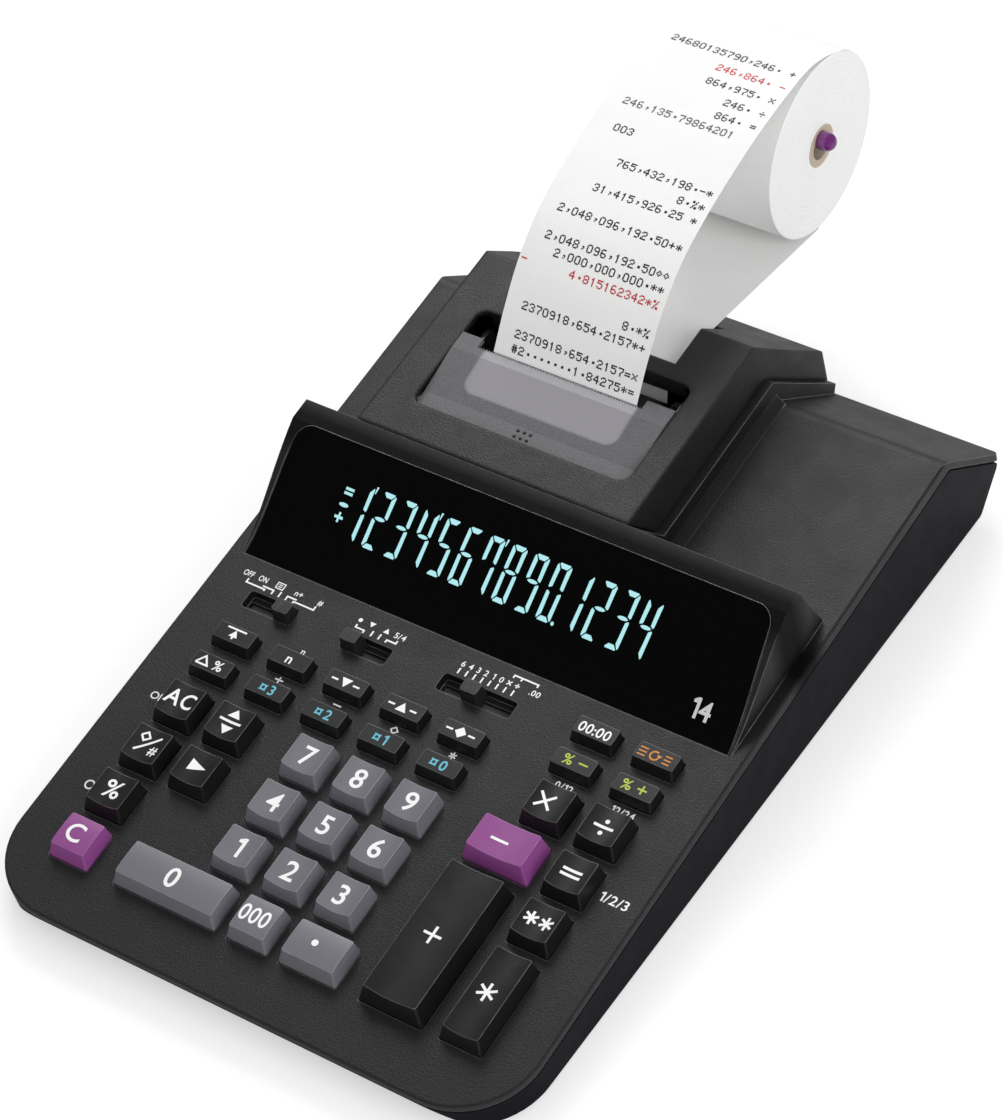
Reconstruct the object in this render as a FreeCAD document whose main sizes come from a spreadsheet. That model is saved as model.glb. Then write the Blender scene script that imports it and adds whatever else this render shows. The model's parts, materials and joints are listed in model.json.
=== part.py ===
import FreeCAD, Part
import math
import os

# Printing calculator. Every piece is drawn in the deck frame: X to the right, Y to the back along
# the flat key deck, Z out of the deck, with the middle of the case at X 0. One placement then tips
# that frame by the deck's slope and sets the feet on the ground.

V = FreeCAD.Vector
doc = FreeCAD.newDocument("printing_calculator")

# Driving sizes in millimetres, angles in degrees
SIZES = {
    # case
    "deck_slope": 6.83,
    "case_width": 206.5,
    "case_front": 87.4,
    "case_rear": 229.1,
    "case_corner": 28.2,
    "rear_corner": 3.0,
    "case_wall": 2.5,
    "crease_back": 196.8,
    "crease_round": 7.0,
    "nose_drop": 32.3,
    "nose_corner": 5.0,
    "undercut_back": 212.8,
    "front_inset": 4.4,
    "body_depth": 21.66,
    "foot_height": 2.3,
    "foot_radius": 6.0,
    "foot_edge": 20.0,
    "parting_front": 2.6,
    "parting_rear": 4.6,
    "parting_gap": 0.8,
    "parting_groove": 0.9,
    "lip_gap": 0.1,
    "deck_edge": 1.0,
    # display hump
    "hump_side": 98.3,
    "hump_top": 26.1,
    "hump_back": 122.7,
    "band_back": 113.7,
    "lens_foot": 63.1,
    "lens_rise": 25.9,
    "lens_run": 42.1,
    "lens_half_front": 97.4,
    "lens_half_back": 94.6,
    "lens_thick": 2.2,
    "lens_corner": 6.5,
    "lens_gap": 0.15,
    "tube_half": 84.0,
    "tube_reach": 28.0,
    "tube_thick": 5.0,
    "tube_gap": 0.3,
    # printer cover
    "cover_left": 77.1,
    "cover_right": 32.4,
    "cover_flare": 1.8,
    "cover_front": 114.0,
    "cover_ridge": 196.5,
    "cover_end": 230.2,
    "cover_top": 26.1,
    "cover_end_top": 11.9,
    "cover_end_low": 27.7,
    "cover_seam": 10.3,
    "cover_seam_front": 124.9,
    "cover_wall": 2.2,
    "cover_gap": 0.3,
    "collar_ledge": 3.3,
    "collar_flank": 1.6,
    "collar_wall": 5.6,
    "window_left": 64.3,
    "window_right": 22.8,
    "window_front": 128.4,
    "window_back": 173.2,
    "window_corner": 4.3,
    "bridge_depth": 6.2,
    "bridge_lip": 8.0,
    "notch_left": 53.7,
    "notch_right": 11.4,
    "notch_back": 210.0,
    # smoke cutter cover
    "cutter_gap": 0.4,
    "cutter_thick": 1.8,
    "cutter_sink": 2.6,
    "tear_back": 157.9,
    "tear_left": 55.4,
    "tear_right": 11.4,
    "tear_side": 161.4,
    "tooth_pitch": 1.1,
    "tooth_depth": 0.9,
    "cutter_pin": 1.2,
    "pin_gap": 0.06,
    # paper
    "paper_middle": -20.3,
    "paper_width": 58.2,
    "paper_thick": 0.3,
    "paper_gap": 0.3,
    "roll_back": 283.6,
    "roll_up": 29.0,
    "roll_radius": 34.3,
    "core_radius": 8.0,
    "core_bore": 5.2,
    # roll arm
    "arm_side": 54.0,
    "arm_thick": 4.0,
    "arm_width": 11.0,
    "arm_pivot_back": 236.8,
    "arm_pivot_drop": 28.0,
    "pivot_radius": 2.0,
    "pivot_gap": 0.05,
    "ear_thick": 3.0,
    "ear_radius": 5.4,
    "ear_gap": 0.3,
    "spindle_radius": 1.8,
    "spindle_rest": 0.15,
    "cap_radius": 3.4,
    "cap_length": 6.0,
    # keys
    "key_pitch": 20.63,
    "row_pitch": 19.65,
    "key_width": 15.73,
    "key_depth": 15.2,
    "key_rise": 6.0,
    "key_side_inset": 1.3,
    "key_front_inset": 2.2,
    "key_back_inset": 0.5,
    "broad_rise": 7.4,
    "broad_side_inset": 2.1,
    "key_corner": 0.7,
    "key_dish": 1.0,
    "key_crown": 0.7,
    "key_wall": 1.3,
    "key_stem": 2.4,
    "key_slot_gap": 0.35,
    "key_flange": 0.8,
    "key_flange_thick": 1.2,
    "key_flange_gap": 0.3,
    "key_travel": 2.8,
    "small_width": 16.18,
    "small_depth": 8.19,
    "small_pitch": 23.24,
    "small_row": 13.42,
    "small_rise": 4.1,
    "small_side_inset": 0.6,
    "small_front_inset": 1.6,
    "small_back_inset": 0.25,
    "mat_thick": 0.7,
    "mat_gap": 0.2,
    "mat_half": 86.0,
    "board_thick": 1.6,
    "board_front": 70.0,
    "board_back": 60.0,
    # slide switches
    "slot_front": 44.1,
    "slot_depth": 7.1,
    "slot_corner": 1.4,
    "well_depth": 3.8,
    "well_wall": 1.6,
    "knob_width": 7.0,
    "knob_rise": 4.7,
    "knob_inset": 0.3,
    "knob_lean": 0.8,
    "knob_gap": 0.3,
    "stem_slit": 2.4,
    "stem_thick": 1.8,
    "stem_width": 4.0,
    # posts and screws
    "post_radius": 3.5,
    "boss_radius": 4.0,
    "boss_side": 95.0,
    "boss_split": 12.0,
    "boss_gap": 0.1,
    "screw_radius": 1.4,
    "screw_clear": 0.3,
    "pilot_gap": 0.05,
    "head_radius": 2.8,
    "head_height": 2.0,
    "head_gap": 0.3,
    "screw_grip": 3.7,
    "screw_length": 12.0,
    "cord_hole": 2.8,
    "cord_hole_side": 60.0,
    # printer
    "frame_left": 62.0,
    "frame_right": 20.0,
    "frame_front": 133.0,
    "frame_back": 190.0,
    "frame_plate": 1.6,
    "frame_floor": 7.0,
    "frame_top": 19.0,
    "platen_back": 166.5,
    "platen_up": 9.6,
    "platen_radius": 6.2,
    "shaft_radius": 2.0,
    "shaft_gap": 0.05,
    "gear_width": 3.5,
    "gear_teeth": 24.0,
    "tooth_height": 1.4,
    "rail_radius": 1.5,
    "rail_back": 143.5,
    "rail_low": 2.0,
    "rail_high": 14.0,
    "head_width": 15.0,
    "head_front": 137.5,
    "head_block_back": 151.5,
    "nose_width": 9.0,
    "nose_height": 5.0,
    "head_start": 42.0,
    "web_entry_back": 178.5,
    "web_entry_up": 22.4,
    "ramp_gap": 1.5,
    "chute_bend": 4.0,
    "tear_bend": 8.0,
    "tear_clear": 0.1,
    "lip_thick": 1.2,
    "lip_clear": 0.8,
    "pin_inset": 3.6,
    "lug_thick": 3.0,
    "tear_rise": 0.6,
    "gear_root": 6.8,
    "gear_gap": 0.4,
    "nose_gap": 0.3,
    "key_roof": 1.3,
    "foot_thick": 0.8,
}

sheet = doc.addObject("Spreadsheet::Sheet", "sizes")
for row, (word, number) in enumerate(SIZES.items(), start=1):
    sheet.set("A%d" % row, word)
    sheet.set("B%d" % row, str(number))
    sheet.setAlias("B%d" % row, word)
doc.recompute()


def size(word):
    """One driving size as a plain number."""
    return float(getattr(sheet, word))


def sheet_terms(text):
    """An expression with each size name pointed at the sheet."""
    out = []
    for term in text.split(" "):
        out.append("sizes." + term if term in SIZES else term)
    return " ".join(out)


# Sizes that several pieces share
slope = math.radians(size("deck_slope"))
half_width = size("case_width") / 2
wall = size("case_wall")
front = -size("case_front")
travel = size("key_travel")
deck_low = -wall
flange_top = deck_low - size("key_flange_gap")
flange_low = flange_top - size("key_flange_thick")
mat_top = flange_low - travel - size("mat_gap")
mat_low = mat_top - size("mat_thick")
board_low = mat_low - size("board_thick")
ground_lift = size("body_depth") + size("foot_height")
cover_middle = (size("cover_right") - size("cover_left")) / 2
cover_half = (size("cover_right") + size("cover_left")) / 2
flare = cover_half + size("cover_flare")
lens_top = size("lens_foot") + size("lens_run")
spindle_up = (size("roll_up") + size("core_bore")
              - size("spindle_radius") - size("spindle_rest"))
paper_left = size("paper_middle") - size("paper_width") / 2
paper_right = size("paper_middle") + size("paper_width") / 2


def wall_bottom(back):
    """Deck-frame height of the flat underside at a distance back."""
    return (-size("body_depth") - math.sin(slope) * back) / math.cos(slope)


def to_ground(back, up):
    """Ground-frame depth and height of a deck-frame point, before the centring shift."""
    return (math.cos(slope) * back - math.sin(slope) * up,
            math.sin(slope) * back + math.cos(slope) * up + ground_lift)


front_reach = to_ground(front, -size("parting_front"))[0]
rear_reach = to_ground(size("roll_back"), size("roll_up"))[0] + size("roll_radius")
centre_shift = -(front_reach + rear_reach) / 2
FRAME = FreeCAD.Placement(
    V(0, centre_shift, ground_lift),
    FreeCAD.Rotation(V(1, 0, 0), size("deck_slope")))

nodes = []


def place(thing, label):
    """Name a finished sub-part and set it in the ground frame."""
    thing.Label = label
    thing.Placement = FRAME
    nodes.append(thing)
    return thing


# Two-dimensional outline helpers

def shifted(points, distance):
    """An open chain of points moved sideways, to its left for a positive distance."""
    out = []
    last = len(points) - 1
    for i, (u, v) in enumerate(points):
        normals = []
        for a, b in ((i - 1, i), (i, i + 1)):
            if a < 0 or b > last:
                continue
            du = points[b][0] - points[a][0]
            dv = points[b][1] - points[a][1]
            long = math.hypot(du, dv)
            normals.append((-dv / long, du / long))
        nu = sum(n[0] for n in normals)
        nv = sum(n[1] for n in normals)
        scale = distance / (nu * normals[0][0] + nv * normals[0][1])
        out.append((u + nu * scale, v + nv * scale))
    return out


def rounded(points):
    """A closed corner list (u, v, radius) as lines and arcs."""
    count = len(points)
    corners = []
    for i in range(count):
        u, v = points[i][0], points[i][1]
        radius = points[i][2] if len(points[i]) > 2 else 0.0
        pu, pv = points[i - 1][0], points[i - 1][1]
        nu, nv = points[(i + 1) % count][0], points[(i + 1) % count][1]
        back = V(pu - u, pv - v, 0)
        ahead = V(nu - u, nv - v, 0)
        room = min(back.Length, ahead.Length)
        back.normalize()
        ahead.normalize()
        angle = back.getAngle(ahead)
        if radius <= 0 or abs(angle - math.pi) < 1e-4:
            corners.append((V(u, v, 0), None, V(u, v, 0)))
            continue
        reach = min(radius / math.tan(angle / 2), room * 0.499)
        radius = reach * math.tan(angle / 2)
        middle = back + ahead
        middle.normalize()
        centre = V(u, v, 0) + middle * (radius / math.sin(angle / 2))
        corners.append((V(u, v, 0) + back * reach, centre - middle * radius,
                        V(u, v, 0) + ahead * reach))
    edges = []
    for i in range(count):
        start, through, end = corners[i]
        if through is not None:
            edges.append(Part.Arc(start, through, end))
        following = corners[(i + 1) % count][0]
        if (following - end).Length > 1e-6:
            edges.append(Part.LineSegment(end, following))
    return edges


def rectangle(left, right, low, high, radius=0.0):
    """Four corners with one radius."""
    return [(left, low, radius), (right, low, radius), (right, high, radius), (left, high, radius)]


def smooth_chain(points, steps):
    """Points on a smooth curve through the given ones."""
    curve = Part.BSplineCurve()
    curve.interpolate([V(u, v, 0) for u, v in points])
    first, last = curve.FirstParameter, curve.LastParameter
    at = [curve.value(first + (last - first) * i / steps) for i in range(steps + 1)]
    return [(p.x, p.y) for p in at]


def arc_side(points):
    """An odd number of points joined by arcs, or by lines where they are straight."""
    at = [V(u, v, 0) for u, v in points]
    edges = []
    for i in range(0, len(at) - 2, 2):
        bend = (at[i + 1] - at[i]).cross(at[i + 2] - at[i + 1]).Length
        if bend < 1e-4:
            edges.append(Part.LineSegment(at[i], at[i + 2]))
        else:
            edges.append(Part.Arc(at[i], at[i + 1], at[i + 2]))
    return edges


def ribbon(line, left_offset, right_offset):
    """The closed outline between a chain of points moved to its left and to its right."""
    left = shifted(line, left_offset)
    right = shifted(line, right_offset)
    edges = arc_side(left) + arc_side(right)
    for end in (0, -1):
        edges.append(Part.LineSegment(V(left[end][0], left[end][1], 0),
                                      V(right[end][0], right[end][1], 0)))
    return edges


def open_path(corners, parts):
    """An open chain with rounded corners as points: three on a line, more on each bend."""
    out = [corners[0][:2]]
    for i in range(1, len(corners)):
        last = i == len(corners) - 1
        corner = V(corners[i][0], corners[i][1], 0)
        start = V(out[-1][0], out[-1][1], 0)
        if last:
            out += [((start.x + corner.x) / 2, (start.y + corner.y) / 2), (corner.x, corner.y)]
            continue
        following = V(corners[i + 1][0], corners[i + 1][1], 0)
        back = V(corners[i - 1][0], corners[i - 1][1], 0) - corner
        ahead = following - corner
        back.normalize()
        ahead.normalize()
        half = back.getAngle(ahead) / 2
        reach = corners[i][2] / math.tan(half)
        middle = back + ahead
        middle.normalize()
        centre = corner + middle * (corners[i][2] / math.sin(half))
        enter = corner + back * reach
        leave = corner + ahead * reach
        out += [((start.x + enter.x) / 2, (start.y + enter.y) / 2), (enter.x, enter.y)]
        turn = (enter - centre).getAngle(leave - centre)
        side = 1 if (enter - centre).cross(leave - centre).z > 0 else -1
        for k in range(1, parts + 1):
            a = side * turn * k / parts
            spoke = enter - centre
            out.append((centre.x + spoke.x * math.cos(a) - spoke.y * math.sin(a),
                        centre.y + spoke.x * math.sin(a) + spoke.y * math.cos(a)))
    return out


# Feature helpers. Each shift and length is an expression on the sheet.

def new_body(name):
    """An empty body."""
    return doc.addObject("PartDesign::Body", name)


def draw(body, name, role, loops, shift="0"):
    """A sketch on an origin plane moved along its normal."""
    plane = [f for f in body.Origin.OriginFeatures if f.Role == role][0]
    sketch = body.newObject("Sketcher::SketchObject", name)
    sketch.AttachmentSupport = [(plane, "")]
    sketch.MapMode = "FlatFace"
    if shift != "0":
        sketch.setExpression("AttachmentOffset.Base.z", sheet_terms(shift))
    for loop in loops:
        edges = loop if hasattr(loop[0], "toShape") else rounded(loop)
        sketch.addGeometry(edges, False)
    return sketch


def circle(u, v, radius):
    """A round outline."""
    return [Part.Circle(V(u, v, 0), V(0, 0, 1), radius)]


def pad(body, sketch, length, both=False, flip=False):
    """Material added along the sketch normal."""
    feature = body.newObject("PartDesign::Pad", sketch.Name + "_pad")
    feature.Profile = sketch
    feature.setExpression("Length", sheet_terms(length))
    feature.Midplane = both
    feature.Reversed = flip
    body.Tip = feature
    return feature


def pocket(body, sketch, length, both=False, flip=False):
    """Material taken away against the sketch normal."""
    doc.recompute()
    before = body.Shape.Volume
    feature = body.newObject("PartDesign::Pocket", sketch.Name + "_pocket")
    feature.Profile = sketch
    feature.setExpression("Length", sheet_terms(length))
    feature.Midplane = both
    feature.Reversed = flip
    body.Tip = feature
    doc.recompute()
    if not body.Shape.Volume < before - 1e-3:
        raise RuntimeError(sketch.Name + " cuts nothing")
    return feature


def combine(body, tool, kind):
    """Another body joined to this one or cut from it."""
    doc.recompute()
    feature = body.newObject("PartDesign::Boolean", tool.Name + "_" + kind.lower())
    feature.Type = kind
    feature.addObjects([tool])
    body.Tip = feature
    doc.recompute()
    return feature


def case_plan(inset):
    """Plan of the case with large front corners, drawn in by an inset."""
    side = half_width - inset
    near = front + inset
    far = size("case_rear") + size("parting_gap")
    radius = size("case_corner") - inset
    rear_radius = size("nose_corner") - inset
    return [(-side, near, radius), (side, near, radius), (side, far, rear_radius),
            (-side, far, rear_radius)]


def trimmed_blank(name, inset, side_view, rounding=False):
    """The case plan pulled up to the deck, kept only inside a side view."""
    body = new_body(name)
    plan = draw(body, name + "_plan", "XY_Plane", [case_plan(inset)],
                "0 - body_depth - case_rear")
    raised = pad(body, plan, "body_depth + case_rear")
    if rounding:
        doc.recompute()
        rim = []
        for i, edge in enumerate(raised.Shape.Edges, start=1):
            box = edge.BoundBox
            if box.ZMin > -1e-6 and box.YMin < size("crease_back"):
                rim.append("Edge%d" % i)
        soften = body.newObject("PartDesign::Fillet", name + "_rounding")
        soften.Base = (raised, rim)
        soften.setExpression("Radius", sheet_terms("deck_edge"))
        body.Tip = soften
    reach = size("case_rear") * 2
    frame = rectangle(-reach, reach, -reach, reach)
    trim = draw(body, name + "_side", "YZ_Plane", [frame, side_view])
    pocket(body, trim, "case_width * 2", both=True)
    return body


# Side view of the case in the deck frame
crease = (size("crease_back"), 0.0)
nose = (size("case_rear"), -size("nose_drop"))
parting_far = crease[0] - size("nose_drop") / 3
parting = [
    (front, -size("parting_front")),
    (parting_far, -size("parting_rear")),
]
slope_line = [crease, nose]
slope_inner = shifted(slope_line, -wall)
slope_lower = shifted(slope_line, -(wall + size("parting_gap")))


def meet(first, second):
    """Where two lines cross."""
    (x1, y1), (x2, y2) = first
    (x3, y3), (x4, y4) = second
    bottom = (x1 - x2) * (y3 - y4) - (y1 - y2) * (x3 - x4)
    a = x1 * y2 - y1 * x2
    b = x3 * y4 - y3 * x4
    return ((a * (x3 - x4) - (x1 - x2) * b) / bottom,
            (a * (y3 - y4) - (y1 - y2) * b) / bottom)


upper_knee = meet(parting, slope_inner)
lower_parting = [(u, v - size("parting_gap")) for u, v in parting]
lip_parting = [(u, v - size("lip_gap")) for u, v in parting]
lower_knee = meet(lower_parting, slope_lower)

upper_outer = [
    (front, parting[0][1]),
    (front, 0.0),
    (crease[0], crease[1], size("crease_round")),
    nose,
    slope_inner[1],
    (upper_knee[0], upper_knee[1], size("crease_round") / 2),
]

rear_bottom = (size("undercut_back") - 0.5, wall_bottom(size("undercut_back") - 0.5))
front_bottom = (front + size("front_inset"), wall_bottom(front + size("front_inset")))
lower_nose = slope_lower[1]

lower_outer = [
    (front, lower_parting[0][1]),
    (lower_knee[0], lower_knee[1], size("crease_round") / 2),
    (lower_nose[0], lower_nose[1], size("deck_edge")),
    (rear_bottom[0], rear_bottom[1], size("rear_corner")),
    (front_bottom[0], front_bottom[1], size("rear_corner")),
]
slope_lip = shifted(slope_line, -(wall + size("lip_gap")))
lip_knee = meet(lip_parting, slope_lip)
lip_line = slope_lip[1]
groove = size("parting_groove")
lower_lip = [
    (front, lip_parting[0][1]),
    lip_knee,
    (lip_line[0] - groove, lip_line[1] + groove * size("nose_drop") / (nose[0] - crease[0])),
    (lip_line[0] - 2 * wall, lip_line[1] - wall),
    (rear_bottom[0] - 2 * wall, rear_bottom[1] + 2 * wall),
    (front_bottom[0] + wall, front_bottom[1] + wall),
]
floor_front = (front_bottom[0] + wall, wall_bottom(front_bottom[0] + wall) + wall)
floor_rear = (rear_bottom[0] - wall, wall_bottom(rear_bottom[0] - wall) + wall)
lower_cavity = [
    (front, deck_low + wall),
    (crease[0], deck_low + wall),
    (nose[0] - 2 * wall, nose[1] + wall * 2),
    (floor_rear[0], floor_rear[1], size("rear_corner") / 2),
    (floor_front[0], floor_front[1], size("rear_corner") / 2),
    (front + wall, lower_parting[0][1]),
]

# Display hump and lens
lens_face = [
    (0.0, 0.0), (0.114, 0.066), (0.228, 0.162), (0.435, 0.386),
    (0.641, 0.629), (0.822, 0.830), (1.0, 1.0),
]
lens_points = [
    (size("lens_foot") + a * size("lens_run"), b * size("lens_rise")) for a, b in lens_face
]
lens_line = smooth_chain(lens_points, 12)


def lens_block(name, gap, depth):
    """The curved lens plate, grown by a gap all round and made deep enough."""
    body = new_body(name)
    edges = ribbon(lens_line, 0.0 if gap == 0 else wall, -depth)
    side_view = draw(body, name + "_side", "YZ_Plane", [edges])
    pad(body, side_view, "case_width", both=True)
    low = size("lens_foot") - size("lens_thick") * 2
    high = lens_top + gap
    if gap > 0:
        low = size("lens_foot") - gap
    near = size("lens_half_front") + gap
    far = size("lens_half_back") + gap
    plan = [(-near, low), (near, low), (far, high, size("lens_corner")),
            (-far, high, size("lens_corner"))]
    reach = size("case_width")
    frame = rectangle(-reach, reach, -reach, reach * 2)
    trim = draw(body, name + "_plan", "XY_Plane", [frame, plan], "0 - case_width")
    pocket(body, trim, "case_width * 2", flip=True)
    return body


display_lens = lens_block("display_lens", 0.0, size("lens_thick"))
lens_seat = lens_block("lens_seat", size("lens_gap"), size("lens_thick") + size("lens_gap"))

# Display hump with its seat for the lens
hump_line = lens_line + [(size("band_back"), size("hump_top")), (size("hump_back"), 0.0)]
hump_outer = hump_line + [(size("hump_back"), deck_low / 2), (lens_line[0][0], deck_low / 2)]
hump_skin = size("lens_thick") + size("lens_gap") + wall
hump_inner_line = shifted(lens_line, -hump_skin)
hump_inner = [p for p in hump_inner_line if p[1] > deck_low] + [
    (size("band_back") - wall / 2, size("hump_top") - wall),
    (size("hump_back") - wall, deck_low),
    (size("hump_back") - wall, deck_low * 2.5),
    (size("lens_foot") + hump_skin * 2, deck_low * 2.5),
]

# Printer opening: the collar that the cover stands on
slope_rate = size("nose_drop") / (size("case_rear") - size("crease_back"))
seam_knee_back = size("cover_ridge")
collar_top = size("cover_seam") - size("cover_gap")
collar_half = flare + size("collar_ledge")
collar_side = [
    (size("band_back") - 2 * wall, deck_low / 2),
    (size("band_back") - 2 * wall, size("hump_top")),
    (size("band_back"), size("hump_top")),
    (size("cover_seam_front") - size("cover_gap"), collar_top),
    (seam_knee_back, collar_top),
    (size("cover_end"), -size("cover_end_low") - size("cover_gap")),
    (nose[0] - 1.0, nose[1]),
    (crease[0] - 1.0, deck_low / 2),
]
opening_half = flare - size("collar_wall")
opening_front = size("cover_seam_front") + 1.5
opening_back = size("cover_end") - 3 * wall

# Key layout: name, column place, row place, width, depth, form of the cap
col_left = -3.763 * size("key_pitch")
col_markup = col_left + size("key_pitch")
col_main = -1.238 * size("key_pitch")
col_multiply = 2.763 * size("key_pitch")
col_divide = col_multiply + size("key_pitch")
rows = [-size("row_pitch") * k for k in range(-1, 4)]
left_drop = 0.43
wide = size("key_width")
deep = size("key_depth")
low_row = -2.995 * size("row_pitch")
small_first = -77.35
small_columns = [small_first + size("small_pitch") * k for k in range(5)]
small_high = 30.44
small_low = small_high - size("small_row")
time_high = 50.38
time_low = time_high - size("small_row")
time_left = 55.23
time_right = time_left + size("small_pitch")

KEYS = [("clear_all", col_left, rows[1] - left_drop, wide, deep, "dished"),
        ("sign_change", col_left, rows[2] - left_drop, wide, deep, "dished"),
        ("percent", col_left, rows[3] - left_drop, wide, deep, "dished"),
        ("clear", col_left, rows[4] - left_drop, wide, deep, "crowned"),
        ("markup", col_markup, rows[1] - left_drop, wide, deep, "dished"),
        ("shift_right", col_markup, rows[2] - left_drop, wide, deep, "dished")]
for number, column, row in ((7, 0, 1), (8, 1, 1), (9, 2, 1), (4, 0, 2), (5, 1, 2), (6, 2, 2),
                            (1, 0, 3), (2, 1, 3), (3, 2, 3)):
    KEYS.append(("digit_%d" % number, col_main + column * size("key_pitch"), rows[row],
                 wide, deep, "dished"))
KEYS += [("digit_000", col_main + size("key_pitch"), low_row, wide, deep, "crowned"),
         ("digit_0", -38.35, low_row, 41.35, deep, "crowned"),
         ("decimal_point", 19.02, low_row, 22.32, deep, "crowned"),
         ("multiply", col_multiply, rows[0], wide, deep, "dished"),
         ("divide", col_divide, rows[0], wide, deep, "dished"),
         ("equals", col_divide, rows[1], wide, deep, "dished"),
         ("grand_total", col_divide, rows[2], wide, deep, "dished"),
         ("minus", 52.27, rows[1], 25.23, deep, "broad"),
         ("plus", 51.15, -39.15, 24.13, 54.19, "broad"),
         ("total", col_divide, -49.01, wide, 34.29, "dished")]
for name, place_x in zip(("paper_feed", "item", "cost", "sell", "margin"), small_columns):
    KEYS.append((name, place_x, small_high, size("small_width"), size("small_depth"),
                 "small"))
for name, place_x in zip(("change_percent", "currency_3", "currency_2", "currency_1",
                          "currency_home"), small_columns):
    KEYS.append((name, place_x, small_low, size("small_width"), size("small_depth"),
                 "small"))
for name, place_x, place_y in (("time", time_left, time_high), ("reprint", time_right, time_high),
                               ("tax_minus", time_left, time_low),
                               ("tax_plus", time_right, time_low)):
    KEYS.append((name, place_x, place_y, size("small_width"), size("small_depth"),
                 "small"))

# Form of a cap: its rise, and how far its top draws in at the sides, in front and behind
CAP_FORMS = {
    "dished": ("key_rise", "key_side_inset", "key_front_inset", "key_back_inset"),
    "crowned": ("key_rise", "key_side_inset", "key_front_inset", "key_back_inset"),
    "broad": ("broad_rise", "broad_side_inset", "key_front_inset", "key_back_inset"),
    "small": ("small_rise", "small_side_inset", "small_front_inset", "small_back_inset"),
}

# Slide switches: name, slot ends, knob place
SWITCHES = [("switch_power", -85.4, -65.0, -68.9),
            ("switch_rounding", -44.3, -26.1, -40.5),
            ("switch_decimal", -5.1, 24.2, 8.4)]
slot_middle = size("slot_front") + size("slot_depth") / 2
well_low = -size("well_depth") - size("well_wall")

# Screw places on each side of the case, front to back
SCREW_ROWS = (-30.0, 70.0, 170.0)
screw_places = [(side * size("boss_side"), back) for back in SCREW_ROWS for side in (-1, 1)]
boss_low = -size("boss_split") + size("boss_gap")

# Upper case
upper_case = trimmed_blank("upper_case", 0.0, upper_outer, rounding=True)

upper_hollow_knee = meet([(front, deck_low), (crease[0], deck_low)], slope_inner)
upper_hollow = trimmed_blank("upper_hollow", wall, [
    (front, deck_low),
    upper_hollow_knee,
    (slope_inner[1][0] + wall, slope_inner[1][1] - wall * slope_rate),
    (slope_inner[1][0] + wall, 2 * slope_inner[1][1]),
    (front, 2 * slope_inner[1][1]),
])
combine(upper_case, upper_hollow, "Cut")

hump_pad = draw(upper_case, "hump", "YZ_Plane", [hump_outer])
pad(upper_case, hump_pad, "hump_side * 2", both=True)
root_pad = draw(upper_case, "hump_root", "XY_Plane", [rectangle(
    -size("hump_side"), size("hump_side"), size("lens_foot") - wall,
    size("lens_foot") + 2 * hump_skin)], "0 - case_wall * 2")
pad(upper_case, root_pad, "case_wall * 1.5")
collar_pad = draw(upper_case, "collar", "YZ_Plane", [collar_side],
                  "( cover_right - cover_left ) / 2")
pad(upper_case, collar_pad, "cover_left + cover_right + ( cover_flare + collar_ledge ) * 2",
    both=True)
flank = []
for side in (-1, 1):
    near = cover_middle + side * (collar_half - wall / 2)
    mid = cover_middle + side * (collar_half + size("collar_flank") / 3)
    far = cover_middle + side * (collar_half + 2 * size("collar_flank"))
    high = V(near + side * wall / 2, collar_top * 0.8, 0)
    flank.append([
        Part.LineSegment(V(near, deck_low / 2, 0), V(near, collar_top * 0.8, 0)),
        Part.LineSegment(V(near, collar_top * 0.8, 0), high),
        Part.Arc(high, V(mid, collar_top * 0.25, 0), V(far, 0.0, 0)),
        Part.LineSegment(V(far, 0.0, 0), V(far, deck_low / 2, 0)),
        Part.LineSegment(V(far, deck_low / 2, 0), V(near, deck_low / 2, 0)),
    ])
flank_pad = draw(upper_case, "collar_flanks", "XZ_Plane", flank,
                 "0 - ( hump_back + crease_back ) / 2")
pad(upper_case, flank_pad, "crease_back - hump_back", both=True)

inner_pocket = draw(upper_case, "hump_hollow", "YZ_Plane", [hump_inner])
pocket(upper_case, inner_pocket, "( hump_side - case_wall ) * 2", both=True)
combine(upper_case, lens_seat, "Cut")
view = draw(upper_case, "display_opening", "XY_Plane", [rectangle(
    -size("tube_half") + wall, size("tube_half") - wall,
    lens_top - size("tube_reach") * 0.8, lens_top - 2 * wall, 2.0)], "hump_top")
pocket(upper_case, view, "hump_top")
well = draw(upper_case, "printer_opening", "XY_Plane", [rectangle(
    cover_middle - opening_half, cover_middle + opening_half, opening_front, opening_back,
    size("window_corner"))], "cover_top")
pocket(upper_case, well, "case_rear")

wells = draw(upper_case, "switch_wells", "XY_Plane", [rectangle(
    a - size("well_wall"), b + size("well_wall"), size("slot_front") - size("well_wall"),
    size("slot_front") + size("slot_depth") + size("well_wall"))
    for _, a, b, _ in SWITCHES], "0 - well_depth - well_wall")
pad(upper_case, wells, "well_depth + well_wall - case_wall / 2")
well_cuts = draw(upper_case, "switch_slots", "XY_Plane", [rectangle(
    a, b, size("slot_front"), size("slot_front") + size("slot_depth"), size("slot_corner"))
    for _, a, b, _ in SWITCHES])
pocket(upper_case, well_cuts, "well_depth")
slits = draw(upper_case, "switch_slits", "XY_Plane", [rectangle(
    a + size("knob_gap"), b - size("knob_gap"), slot_middle - size("stem_slit") / 2,
    slot_middle + size("stem_slit") / 2) for _, a, b, _ in SWITCHES])
pocket(upper_case, slits, "well_depth + well_wall * 2")

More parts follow.
